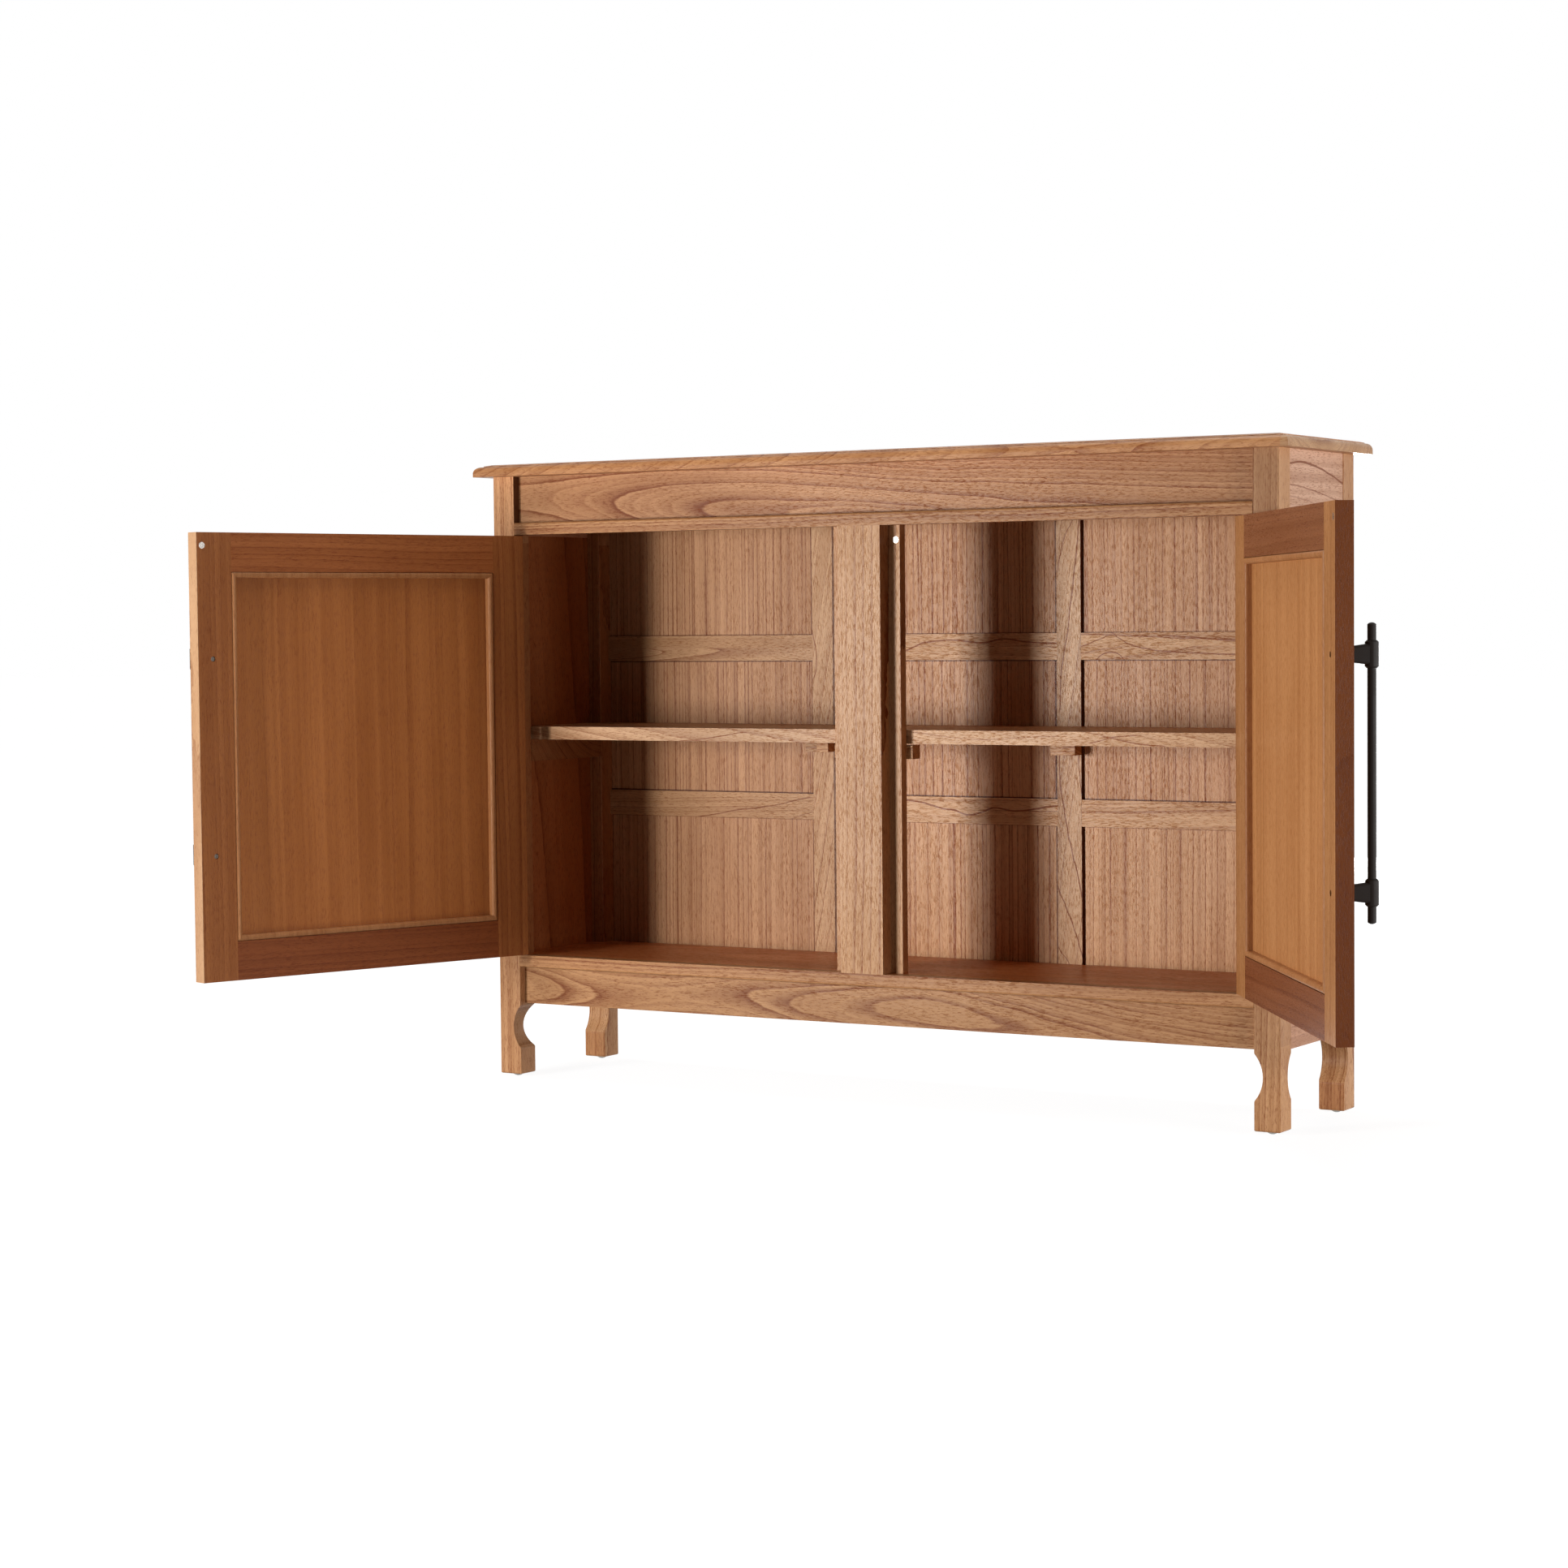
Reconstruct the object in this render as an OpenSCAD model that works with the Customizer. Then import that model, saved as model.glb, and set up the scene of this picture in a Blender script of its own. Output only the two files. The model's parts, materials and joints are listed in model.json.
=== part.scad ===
// Sideboard with two cane fronted doors, standing on scalloped corner posts.
// X runs to the right, Y to the back and Z up.
// The origin is on the floor, under the middle of the four posts.

/* [Case] */
// Width over the corner posts
case_w = 1180; // [1000:5:1400]
// Depth over the corner posts
case_d = 242; // [210:2:330]
// Height from the floor to the underside of the top board
case_h = 841; // [740:1:960]
// Side of the square corner posts
post_s = 35; // [30:1:42]
// Softening radius of the post edges
post_edge_r = 1.5; // [0.5:0.5:3]
// Height from the floor to the underside of the aprons
leg_h = 104; // [94:1:140]

/* [Legs] */
// Depth of the scallop cut in the legs
scallop_depth = 12; // [6:1:15]
// Height of the scallop cut
scallop_h = 60; // [40:1:64]
// Height of the middle of the scallop above the floor
scallop_z = 71; // [60:1:72]
// Radius of the shoulder below the scallop
shoulder_r = 8; // [4:1:12]
// Radius that softens the bottom edges of the feet
foot_edge_r = 3; // [1:0.5:5]
// Height of the domed glide under each foot
glide_h = 4; // [2:0.5:8]
// Radius of the domed glide under each foot
glide_r = 8; // [6:0.5:12]

/* [Top board] */
// Thickness of the top board
top_t = 17; // [15.5:0.5:25]
// Overhang of the top board past the posts at each end
top_side = 20; // [12:1:35]
// Overhang of the top board past the front posts
top_front = 20; // [12:1:35]
// Overhang of the top board past the back posts
top_back = 14; // [0:1:30]
// Length of the glue blocks under the top board
top_block_len = 60; // [30:1:120]
// Section of the glue blocks under the top board
top_block_s = 22; // [15:1:30]
// Height of the straight part of the moulded edge
edge_flat = 5; // [3:0.5:5.5]
// Radius of the round of the moulded edge
edge_round = 9; // [5:0.5:9]

/* [Front frame] */
// Height of the flush rails above and below the doors
rail_h = 17; // [14:1:30]
// Thickness of the flush rails and the centre stile
rail_t = 21; // [20.6:0.1:26]
// Height of the recessed apron above the upper rail
upper_apron_h = 64; // [40:1:90]
// Height of the recessed apron below the lower rail
lower_apron_h = 51.5; // [36:0.5:80]
// Thickness of the aprons
apron_t = 14; // [12:1:20]
// Depth of the aprons behind the front of the posts
apron_recess = 12; // [6:1:14]
// Width of the centre stile
stile_w = 64; // [50:1:90]
// Width of the stop board behind the centre stile
stop_w = 100; // [92:1:120]
// Thickness of the stop board behind the centre stile
stop_t = 14; // [10:1:18]

/* [Sides] */
// Thickness of the side panels
side_t = 14; // [10:1:17]
// Depth of the side panels behind the outer faces of the posts
side_recess = 1; // [0:0.5:3]
// Height of the rail at the top of each side
side_rail_h = 81; // [60:1:110]

/* [Back] */
// Thickness of the back panel
back_panel_t = 3.5; // [3:0.5:8]
// Depth of the back panel behind the backs of the posts
back_recess = 5; // [0:0.5:8]
// Thickness of the frame in front of the back panel
back_frame_t = 5; // [4:0.5:10]
// Width of the stiles and cross rails of the back frame
back_stile_w = 36; // [26:1:50]
// Height of the middle of the upper cross rails above the floor
upper_cross_z = 599; // [540:1:650]
// Height of the middle of the lower cross rails above the floor
lower_cross_z = 376; // [300:1:400]
// Depth of the rail at the bottom of the back
back_sill_t = 20; // [15:1:30]
// Height of the rail at the top of the back
back_head_h = 50; // [36:1:70]

/* [Shelf] */
// Height of the top of the shelf above the floor
shelf_z = 492; // [470:1:520]
// Thickness of the shelf
shelf_t = 18; // [15:1:24]
// Height of the cleats that carry the ends of the shelf
cleat_h = 31; // [20:1:45]
// Thickness of the cleats that carry the ends of the shelf
cleat_t = 20; // [12:1:20]
// Section of the small blocks under the back and middle of the shelf
block_s = 20; // [14:1:26]
// Width of the block behind the stop board
centre_block_w = 118; // [100:1:150]
// Gap between the middle block and the shelf
centre_block_gap = 2; // [0.5:0.5:4]
// Gap around the shelf
shelf_gap = 1; // [0.5:0.5:2]

/* [Doors] */
// Thickness of the door frames
door_t = 20.5; // [18:0.1:20.5]
// Gap between each door and its post
hinge_gap = 2; // [1.5:0.5:3]
// Gap between each door and the centre stile
free_gap = 4; // [2:0.5:6]
// Gap above and below each door
door_gap = 2; // [1:0.5:4]
// Width of the door stiles and rails
frame_w = 51; // [45:1:65]
// Depth of the wooden door panel behind the inner face of the frame
panel_recess = 8; // [6:0.5:9]
// Thickness of the wooden door panel
panel_t = 5; // [4:0.5:5.5]
// Depth of the groove that holds the wooden door panel
groove_d = 6; // [4:0.5:9]
// Thickness of the cane webbing
cane_t = 1.2; // [0.8:0.1:1.8]
// Width of the bead around the inside of the door panel
bead_w = 8; // [5:0.5:10]
// Height of the bead above the panel
bead_h = 9; // [7:0.5:11]
// Width of the reed strip around the cane
reed_w = 5; // [3:0.5:8]
// Height of the reed strip above the cane
reed_h = 3.5; // [2:0.5:5]
// Opening angle of the left door as it stands
left_open = 108.1; // [5:0.1:165]
// Opening angle of the right door as it stands
right_open = 125.4; // [5:0.1:165]

/* [Hinges] */
// Length of each butt hinge
hinge_len = 50; // [40:1:75]
// Width of each hinge leaf
leaf_w = 15; // [12:0.5:17]
// Thickness of each hinge leaf
leaf_t = 1.2; // [1:0.1:1.6]
// Radius of the hinge knuckles
knuckle_r = 3; // [2.8:0.1:3.6]
// Radius of the hinge pins
hinge_pin_r = 1.5; // [1.2:0.1:1.7]
// Distance from the door's ends to the middle of the hinges
hinge_inset = 90; // [60:1:130]

/* [Handles] */
// Distance between the two handle posts
handle_span = 256; // [160:1:320]
// Length of the handle bar
bar_len = 324; // [300:1:400]
// Radius of the handle bar
bar_r = 4.75; // [4:0.25:5.5]
// Distance from the door's face to the middle of the handle bar
standoff = 24.5; // [20:0.5:32]
// Distance from the door's free edge to the handle
handle_inset = 22; // [16:1:30]
// Radius of the collar around the bar
collar_r = 7.4; // [7:0.1:9]
// Length of the collar around the bar
collar_len = 30; // [24:1:40]

/* [Magnets] */
// Radius of the door magnets
magnet_r = 4.3; // [3:0.1:5]
// Thickness of the door magnets
magnet_t = 2; // [1.5:0.5:3]
// Distance from the top of the door to the magnet
magnet_drop = 17; // [12:1:40]
// Distance from the middle of the sideboard to the magnets
magnet_x = 44; // [42:0.5:44.5]
// How much nearer to the middle the left magnet of the stop board sits
left_magnet_in = 4; // [0:0.5:4.5]

/* [Hidden] */
$fn = 48;

front_y = -case_d / 2;
back_y = case_d / 2;
inner_x = case_w / 2 - post_s;
inner_y = case_d / 2 - post_s;
past = 1;

// Heights of the front frame
lower_rail_z = leg_h + lower_apron_h;
floor_z = lower_rail_z + rail_h;
apron_top_z = case_h - upper_apron_h;
head_z = apron_top_z - rail_h;
rail_back_y = front_y + rail_t;

// Planes of the sides and the back
side_out_x = case_w / 2 - side_recess;
side_in_x = side_out_x - side_t;
side_ledge = 10;
panel_back_y = back_y - back_recess;
panel_front_y = panel_back_y - back_panel_t;
back_face_y = panel_front_y - back_frame_t;
sill_y = panel_front_y - back_sill_t;

// Doors: width, height and the line of the hinge pins
pin_x = inner_x - hinge_gap / 2;
edge_x = hinge_gap / 2;
door_w = inner_x - stile_w / 2 - hinge_gap - free_gap;
door_z0 = floor_z + door_gap;
door_z1 = head_z - door_gap;
door_h = door_z1 - door_z0;
open_w = door_w - 2 * frame_w;
open_h = door_h - 2 * frame_w;
panel_in_y = door_t - panel_recess;
panel_out_y = panel_in_y - panel_t;
cane_out_y = panel_out_y - cane_t;
groove_play = 0.1;
handle_x = edge_x + door_w - handle_inset;
handle_z = (door_z0 + door_z1) / 2;

// Hinges and screws
hinge_zs = [door_z0 + hinge_inset, door_z1 - hinge_inset];
knuckle_play = 0.3;
gain_play = 0.4;
fit_play = 0.02;
turn_play = 0.05;
hinge_screw_r = 1.4;
hinge_screw_head_r = 2.8;
hinge_screw_len = 14;
handle_screw_r = 1.9;
handle_screw_head_r = 2.8;
handle_screw_head_h = 1.8;
handle_screw_sink = 3.2;
handle_screw_cross = [3.6, 0.7, 1.4];
handle_screw_pocket_r = 3.5;
handle_screw_grip = 9;
screw_play = 0.1;

// Nails of the glides
glide_nail_r = 1.5;
glide_nail_len = 12;
glide_rim_h = 0.5;
glide_flat_h = 0.2;

// Mouldings: the quirk and bevel above the round of the top board, the soft corner of the flush rails,
// the flat between the two rounds of a bead and the straight foot below them
quirk_w = 2;
quirk_h = 1.2;
bevel_w = 8;
rail_edge_r = 3;
crest_w = 0.6;
strip_foot_h = 1;

// Necks of the handles, from the door to the bar
neck_w = 13;
neck_door_h = 17;
neck_bar_h = 23.5;
neck_edge_r = 3;
collar_chamfer = 2;
bar_dome_h = 2;

// Wood colours
honey = [0.72, 0.50, 0.33];
pale = [0.78, 0.58, 0.42];
amber = [0.66, 0.42, 0.24];
dark = [0.50, 0.30, 0.17];
cane_colour = [0.86, 0.72, 0.50];
black = [0.06, 0.055, 0.05];
nickel = [0.80, 0.80, 0.78];

// A box given by its lower and upper corners
module block(low, high) {
    translate(low) cube(high - low);
}

// Both ends of the sideboard
module both_ends() {
    children();
    mirror([1, 0, 0]) children();
}

// A square with rounded corners, exact arcs
module soft_square(w, d, r) {
    translate([r, 0]) square([w - 2 * r, d]);
    translate([0, r]) square([w, d - 2 * r]);
    for (x = [r, w - r], y = [r, d - r]) translate([x, y]) circle(r);
}

// A countersunk screw along +Y, its head flush at y = 0. grow widens it for the hole.
module screw(r, head_r, length, grow = 0) {
    head_h = head_r - r;
    rotate([-90, 0, 0]) {
        translate([0, 0, -grow]) cylinder(h = head_h + grow, r1 = head_r + 2 * grow, r2 = r + grow);
        cylinder(h = length + grow, r = r + grow);
    }
}

// Legs and posts

// The scallop seen from the side: u is measured out of the leg's face, v up
module scallop_outline() {
    r = (pow(scallop_h / 2, 2) + pow(scallop_depth, 2)) / (2 * scallop_depth);
    out = r - scallop_depth;
    drop = sqrt(pow(r + shoulder_r, 2) - pow(out + shoulder_r, 2));
    translate([out, scallop_z]) circle(r, $fn = 96);
    difference() {
        polygon([
            [-shoulder_r, scallop_z - drop], [0, scallop_z - drop],
            [out, scallop_z - drop], [out, scallop_z]
        ]);
        translate([-shoulder_r, scallop_z - drop]) circle(shoulder_r);
    }
}

// A post's outline from the side, with the foot's lower corners softened
module post_outline() {
    r = foot_edge_r;
    translate([0, glide_h + r]) square([post_s, case_h - glide_h - r]);
    translate([r, glide_h]) square([post_s - 2 * r, r + past]);
    for (x = [r, post_s - r]) translate([x, glide_h + r]) circle(r);
}

// A post in its own corner: the outer faces at x = 0 and y = 0
module post(scallop_x) {
    difference() {
        intersection() {
            linear_extrude(case_h) soft_square(post_s, post_s, post_edge_r);
            translate([0, post_s, 0]) rotate([90, 0, 0]) linear_extrude(post_s) post_outline();
            rotate([90, 0, 90]) linear_extrude(post_s) post_outline();
        }
        translate([-past, post_s, 0]) rotate([90, 0, 90]) linear_extrude(post_s + 2 * past) scallop_outline();
        if (scallop_x)
            translate([post_s, post_s + past, 0])
                rotate([90, 0, 0]) linear_extrude(post_s + 2 * past) scallop_outline();
        translate([post_s / 2, post_s / 2, 0]) glide_stem(screw_play);
    }
}

module front_post() {
    difference() {
        translate([-case_w / 2, front_y, 0]) post(true);
        translate([-pin_x, front_y, 0]) post_hinge_cuts();
    }
}

module back_post() {
    translate([-case_w / 2, back_y, 0]) mirror([0, 1, 0]) post(false);
}

module front_left_post() {
    color(honey) front_post();
}

module front_right_post() {
    color(honey) mirror([1, 0, 0]) front_post();
}

module back_left_post() {
    color(honey) back_post();
}

module back_right_post() {
    color(honey) mirror([1, 0, 0]) back_post();
}

// The nail of a glide
module glide_stem(grow = 0) {
    translate([0, 0, glide_h - grow]) cylinder(h = glide_nail_len + 2 * grow, r = glide_nail_r + grow);
}

// A glide is a flat slice of a ball: its crown is cut flat where it stands
module foot_glides() {
    crown = glide_h - glide_rim_h + glide_flat_h;
    ball_r = (pow(glide_r, 2) + pow(crown, 2)) / (2 * crown);
    color(dark)
        for (x = [-1, 1], y = [-1, 1])
            translate([x * (case_w - post_s) / 2, y * (case_d - post_s) / 2, 0]) {
                intersection() {
                    translate([0, 0, ball_r - glide_flat_h]) sphere(ball_r, $fn = 96);
                    cylinder(h = glide_h, r = glide_r);
                }
                glide_stem();
            }
}

// Top board

// What the moulding cuts away at one end of the board, u inwards from the end
module edge_cut() {
    round_top = edge_flat + edge_round;
    quirk_u = edge_round + quirk_w;
    quirk_z = round_top + quirk_h;
    bevel_u = quirk_u + bevel_w;
    difference() {
        polygon([
            [-past, edge_flat], [edge_round, edge_flat], [edge_round, round_top], [quirk_u, round_top],
            [quirk_u, quirk_z], [bevel_u, top_t], [bevel_u, top_t + past], [-past, top_t + past]
        ]);
        translate([edge_round, edge_flat]) circle(edge_round);
    }
}

module top_board() {
    w = case_w + 2 * top_side;
    d = case_d + top_front + top_back;
    color(honey)
        translate([-w / 2, front_y - top_front, case_h])
            intersection() {
                translate([0, d, 0]) rotate([90, 0, 0]) linear_extrude(d) difference() {
                    square([w, top_t]);
                    edge_cut();
                    translate([w, 0]) mirror([1, 0]) edge_cut();
                }
                rotate([90, 0, 90]) linear_extrude(w) difference() {
                    square([d, top_t]);
                    edge_cut();
                }
            }
}

// Glue blocks that hold the top board to the aprons
module top_blocks() {
    size = [top_block_len, top_block_s, top_block_s];
    color(dark)
        for (x = [-inner_x / 2, inner_x / 2], y = [front_y + apron_recess + apron_t, back_face_y - size.y])
            translate([x - size.x / 2, y, case_h - size.z]) cube(size);
}

// Front frame

module upper_apron() {
    y = front_y + apron_recess;
    color(honey) block([-inner_x, y, apron_top_z], [inner_x, y + apron_t, case_h]);
}

module lower_apron() {
    y = front_y + apron_recess;
    color(honey) block([-inner_x, y, leg_h], [inner_x, y + apron_t, lower_rail_z]);
}

// A flush rail's section, with one front corner softened
module rail_section() {
    r = rail_edge_r;
    translate([r, 0]) square([rail_t - r, rail_h]);
    translate([0, r]) square([rail_t, rail_h - r]);
    translate([r, r]) circle(r);
}

module flush_rail() {
    translate([-inner_x, front_y, 0]) rotate([90, 0, 90]) linear_extrude(2 * inner_x) rail_section();
}

module upper_rail() {
    color(honey) translate([0, 0, apron_top_z]) mirror([0, 0, 1]) flush_rail();
}

module lower_rail() {
    color(honey) translate([0, 0, lower_rail_z]) flush_rail();
}

module centre_stile() {
    color(honey) block([-stile_w / 2, front_y, floor_z], [stile_w / 2, rail_back_y, head_z]);
}

// A magnet's pocket or disc at the front of the stop board
module at_stop_magnets() {
    for (x = [left_magnet_in - magnet_x, magnet_x])
        translate([x, rail_back_y, door_z1 - magnet_drop]) rotate([-90, 0, 0]) children();
}

module door_stop() {
    color(dark)
        difference() {
            block([-stop_w / 2, rail_back_y, floor_z], [stop_w / 2, rail_back_y + stop_t, apron_top_z]);
            at_stop_magnets() translate([0, 0, -past]) cylinder(h = magnet_t + past, r = magnet_r + fit_play);
        }
}

module stop_magnets() {
    proud = 0.2;
    color(nickel) at_stop_magnets() translate([0, 0, -proud]) cylinder(h = magnet_t + proud, r = magnet_r);
}

// Sides

module side_panel() {
    block([-side_out_x, -inner_y, floor_z], [-side_in_x, inner_y, case_h - side_rail_h]);
}

module left_side_panel() {
    color(amber) side_panel();
}

module right_side_panel() {
    color(pale) mirror([1, 0, 0]) side_panel();
}

module side_top_rails() {
    color(pale) both_ends()
        block([-side_out_x, -inner_y, case_h - side_rail_h], [-side_in_x, inner_y, case_h]);
}

// The bottom rail has a ledge that carries the floor board
module side_bottom_rails() {
    color(pale) both_ends() {
        block([-side_out_x, -inner_y, leg_h], [-side_in_x, inner_y, floor_z]);
        block([-side_in_x - past, -inner_y, leg_h], [-side_in_x + side_ledge, inner_y, lower_rail_z]);
    }
}

// Back

module back_panel() {
    color(pale) block([-inner_x, panel_front_y, leg_h], [inner_x, panel_back_y, case_h]);
}

module back_top_rail() {
    color(dark) block([-inner_x, back_face_y, case_h - back_head_h], [inner_x, panel_front_y, case_h]);
}

module back_bottom_rail() {
    color(dark) block([-inner_x, sill_y, leg_h], [inner_x, panel_front_y, lower_rail_z]);
}

// The stiles split the back into three equal bays
bay_w = (2 * inner_x - 2 * back_stile_w) / 3;
stile_x = bay_w / 2 + back_stile_w / 2;

module back_stiles() {
    color(pale) both_ends()
        block(
            [stile_x - back_stile_w / 2, back_face_y, lower_rail_z],
            [stile_x + back_stile_w / 2, panel_front_y, case_h - back_head_h]
        );
}

module back_cross_rails() {
    bay_pitch = bay_w + back_stile_w;
    color(pale)
        for (z = [upper_cross_z, lower_cross_z], x = [-bay_pitch, 0, bay_pitch])
            block(
                [x - bay_w / 2, back_face_y, z - back_stile_w / 2],
                [x + bay_w / 2, panel_front_y, z + back_stile_w / 2]
            );
}

// Floor and shelf

// A board between the sides, notched around the posts that stand in its corners
module notched_board(y0, y1, gap) {
    difference() {
        translate([-side_in_x + gap, y0]) square([2 * (side_in_x - gap), y1 - y0]);
        for (x = [-1, 1], y = [-1, 1])
            translate([x * case_w / 2, y * case_d / 2]) square(2 * (post_s + gap), center = true);
    }
}

module floor_board() {
    color(amber) translate([0, 0, lower_rail_z])
        linear_extrude(rail_h) notched_board(rail_back_y, back_face_y, 0);
}

module shelf() {
    y0 = rail_back_y + stop_t + 2 * shelf_gap;
    color(honey)
        translate([0, 0, shelf_z - shelf_t]) linear_extrude(shelf_t)
            notched_board(y0, back_face_y - shelf_gap, shelf_gap);
}

module shelf_cleats() {
    z = shelf_z - shelf_t;
    color(dark) both_ends() block([-side_in_x, -inner_y, z - cleat_h], [-side_in_x + cleat_t, inner_y, z]);
}

module shelf_blocks() {
    z = shelf_z - shelf_t;
    y = rail_back_y + stop_t;
    color(dark) {
        block(
            [-centre_block_w / 2, y, z - block_s],
            [centre_block_w / 2, y + block_s, z - centre_block_gap]
        );
        both_ends()
            block(
                [stile_x - back_stile_w / 2, back_face_y - block_s, z - block_s],
                [stile_x + back_stile_w / 2, back_face_y, z]
            );
    }
}

// Hinges, each in the frame of its pin: the pin stands on the origin, the door starts at x = edge_x

module for_hinges() {
    for (z = hinge_zs) translate([0, 0, z]) children();
}

// Three knuckles make a hinge: the case leaf has the two outer ones, the door leaf the middle one
knuckle_len = hinge_len / 3;

module knuckle(z, bore_play) {
    translate([0, 0, z]) difference() {
        cylinder(h = knuckle_len - knuckle_play, r = knuckle_r, center = true);
        cylinder(h = knuckle_len + past, r = hinge_pin_r + bore_play, center = true);
    }
}

// One leaf lies on the plane x = face and reaches away from it by its thickness
module leaf(x, outer) {
    knuckle_zs = outer ? [-knuckle_len, knuckle_len] : [0];
    other_zs = outer ? [0] : [-knuckle_len, knuckle_len];
    difference() {
        translate([x, 0, -hinge_len / 2]) cube([leaf_t, leaf_w, hinge_len]);
        for (z = other_zs)
            translate([0, 0, z])
                cylinder(h = knuckle_len + knuckle_play, r = knuckle_r + knuckle_play, center = true);
        for (z = knuckle_zs)
            translate([0, 0, z]) cylinder(h = knuckle_len + past, r = hinge_pin_r + turn_play, center = true);
    }
    for (z = knuckle_zs) knuckle(z, outer ? fit_play : turn_play);
}

// The places of the screws in a leaf
module at_leaf_screws() {
    for (z = [-0.32, 0.32]) translate([0, leaf_w * 0.6, z * hinge_len]) children();
}

// Screws that go through the case leaf into the post, or through the door leaf into the door
module leaf_screws(into_door, grow = 0) {
    turn = into_door ? -90 : 90;
    x = into_door ? edge_x : -edge_x;
    at_leaf_screws() translate([x, 0, 0]) rotate([0, 0, turn])
        screw(hinge_screw_r, hinge_screw_head_r, hinge_screw_len, grow);
}

module case_leaf() {
    difference() {
        leaf(-edge_x - leaf_t, true);
        leaf_screws(false, screw_play);
    }
}

module door_leaf() {
    difference() {
        leaf(edge_x, false);
        leaf_screws(true, screw_play);
    }
}

// What the hinges take out of the wood beside them
module hinge_gain(x) {
    translate([x, -past, -hinge_len / 2]) cube([leaf_t, leaf_w + past, hinge_len]);
    cylinder(h = hinge_len + 2 * gain_play, r = knuckle_r + gain_play, center = true);
}

module post_hinge_cuts() {
    for_hinges() {
        hinge_gain(-edge_x - leaf_t);
        leaf_screws(false, screw_play);
    }
}

module door_hinge_cuts() {
    for_hinges() {
        hinge_gain(edge_x);
        leaf_screws(true, screw_play);
    }
}

module at_left_pin() {
    translate([-pin_x, front_y, 0]) children();
}

module at_right_pin() {
    translate([pin_x, front_y, 0]) mirror([1, 0, 0]) children();
}

module case_hinge_leaves() {
    color(black) {
        at_left_pin() for_hinges() case_leaf();
        at_right_pin() for_hinges() case_leaf();
    }
}

module hinge_pins() {
    color(black)
        for (x = [-pin_x, pin_x])
            translate([x, front_y, 0]) for_hinges() cylinder(h = hinge_len, r = hinge_pin_r, center = true);
}

module case_hinge_screws() {
    color(black) {
        at_left_pin() for_hinges() leaf_screws(false);
        at_right_pin() for_hinges() leaf_screws(false);
    }
}

// Doors, made closed in the frame of the hinge pin and then swung open

module at_left_door() {
    translate([-pin_x, front_y, 0]) rotate([0, 0, -left_open]) children();
}

module at_right_door() {
    translate([pin_x, front_y, 0]) rotate([0, 0, right_open]) mirror([1, 0, 0]) children();
}

// The inner corner of the frame, where the opening for the panel starts
module at_opening() {
    translate([edge_x + frame_w, 0, door_z0 + frame_w]) children();
}

module panel_groove() {
    at_opening()
        translate([-groove_d, panel_out_y - groove_play, -groove_d])
            cube([open_w + 2 * groove_d, panel_t + 2 * groove_play, open_h + 2 * groove_d]);
}

// A blind pocket for the magnet in the inner face
module at_door_magnet() {
    translate([pin_x - magnet_x, door_t, door_z1 - magnet_drop]) rotate([90, 0, 0]) children();
}

module at_handle_posts() {
    for (z = [-handle_span / 2, handle_span / 2]) translate([handle_x, 0, handle_z + z]) children();
}

// The handle screws enter from the inner face of the door. Their heads lie at the bottom of a pocket.
module handle_screw_shank(grow = 0) {
    head_y = door_t - handle_screw_sink;
    at_handle_posts() translate([0, head_y, 0]) rotate([90, 0, 0])
        cylinder(h = head_y + handle_screw_grip + grow, r = handle_screw_r + grow);
}

module handle_screw_holes() {
    handle_screw_shank(screw_play);
    at_handle_posts() translate([0, door_t - handle_screw_sink, 0]) rotate([-90, 0, 0])
        cylinder(h = handle_screw_sink + past, r = handle_screw_pocket_r);
}

module handle_screws() {
    handle_screw_shank();
    at_handle_posts() translate([0, door_t - handle_screw_sink, 0]) rotate([-90, 0, 0]) difference() {
        cylinder(h = handle_screw_head_h, r = handle_screw_head_r);
        translate([0, 0, handle_screw_head_h])
            for (turn = [0, 90]) rotate([0, 0, turn]) cube(handle_screw_cross, center = true);
    }
}

module hinge_stile() {
    difference() {
        translate([edge_x, 0, door_z0]) cube([frame_w, door_t, door_h]);
        panel_groove();
        door_hinge_cuts();
    }
}

module free_stile() {
    difference() {
        translate([edge_x + door_w - frame_w, 0, door_z0]) cube([frame_w, door_t, door_h]);
        panel_groove();
        at_door_magnet() translate([0, 0, -past]) cylinder(h = magnet_t + past, r = magnet_r + fit_play);
        handle_screw_holes();
    }
}

module door_rail(z) {
    difference() {
        translate([edge_x + frame_w, 0, z]) cube([open_w, door_t, frame_w]);
        panel_groove();
    }
}

module door_panel() {
    reach = groove_d - 0.5;
    at_opening()
        translate([-reach, panel_out_y, -reach]) cube([open_w + 2 * reach, panel_t, open_h + 2 * reach]);
}

// Across an opening of this width, a block with its two top edges rounded
module rounded_block(w, strip_h, r) {
    intersection() {
        square([w, strip_h]);
        union() {
            square([w, strip_h - r]);
            translate([r, 0]) square([w - 2 * r, strip_h]);
            for (x = [r, w - r]) translate([x, strip_h - r]) circle(r);
        }
    }
}

// Across the same opening, the pool inside the strips, which rounds their inner edges
module rounded_pool(w, strip_w, strip_h, r) {
    translate([strip_w, -past]) square([w - 2 * strip_w, strip_h + 2 * past]);
    difference() {
        translate([strip_w - r, strip_h - r]) square([w - 2 * (strip_w - r), r + past]);
        for (x = [strip_w - r, w - strip_w + r]) translate([x, strip_h - r]) circle(r);
    }
}

// Crosses two outlines, the first over the width and the second over the height of an opening of w by h.
// Both are drawn with y out of the panel.
module crossed(w, h) {
    intersection() {
        linear_extrude(h) children(0);
        translate([w, 0, 0]) rotate([0, -90, 0]) linear_extrude(w) children(1);
    }
}

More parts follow.
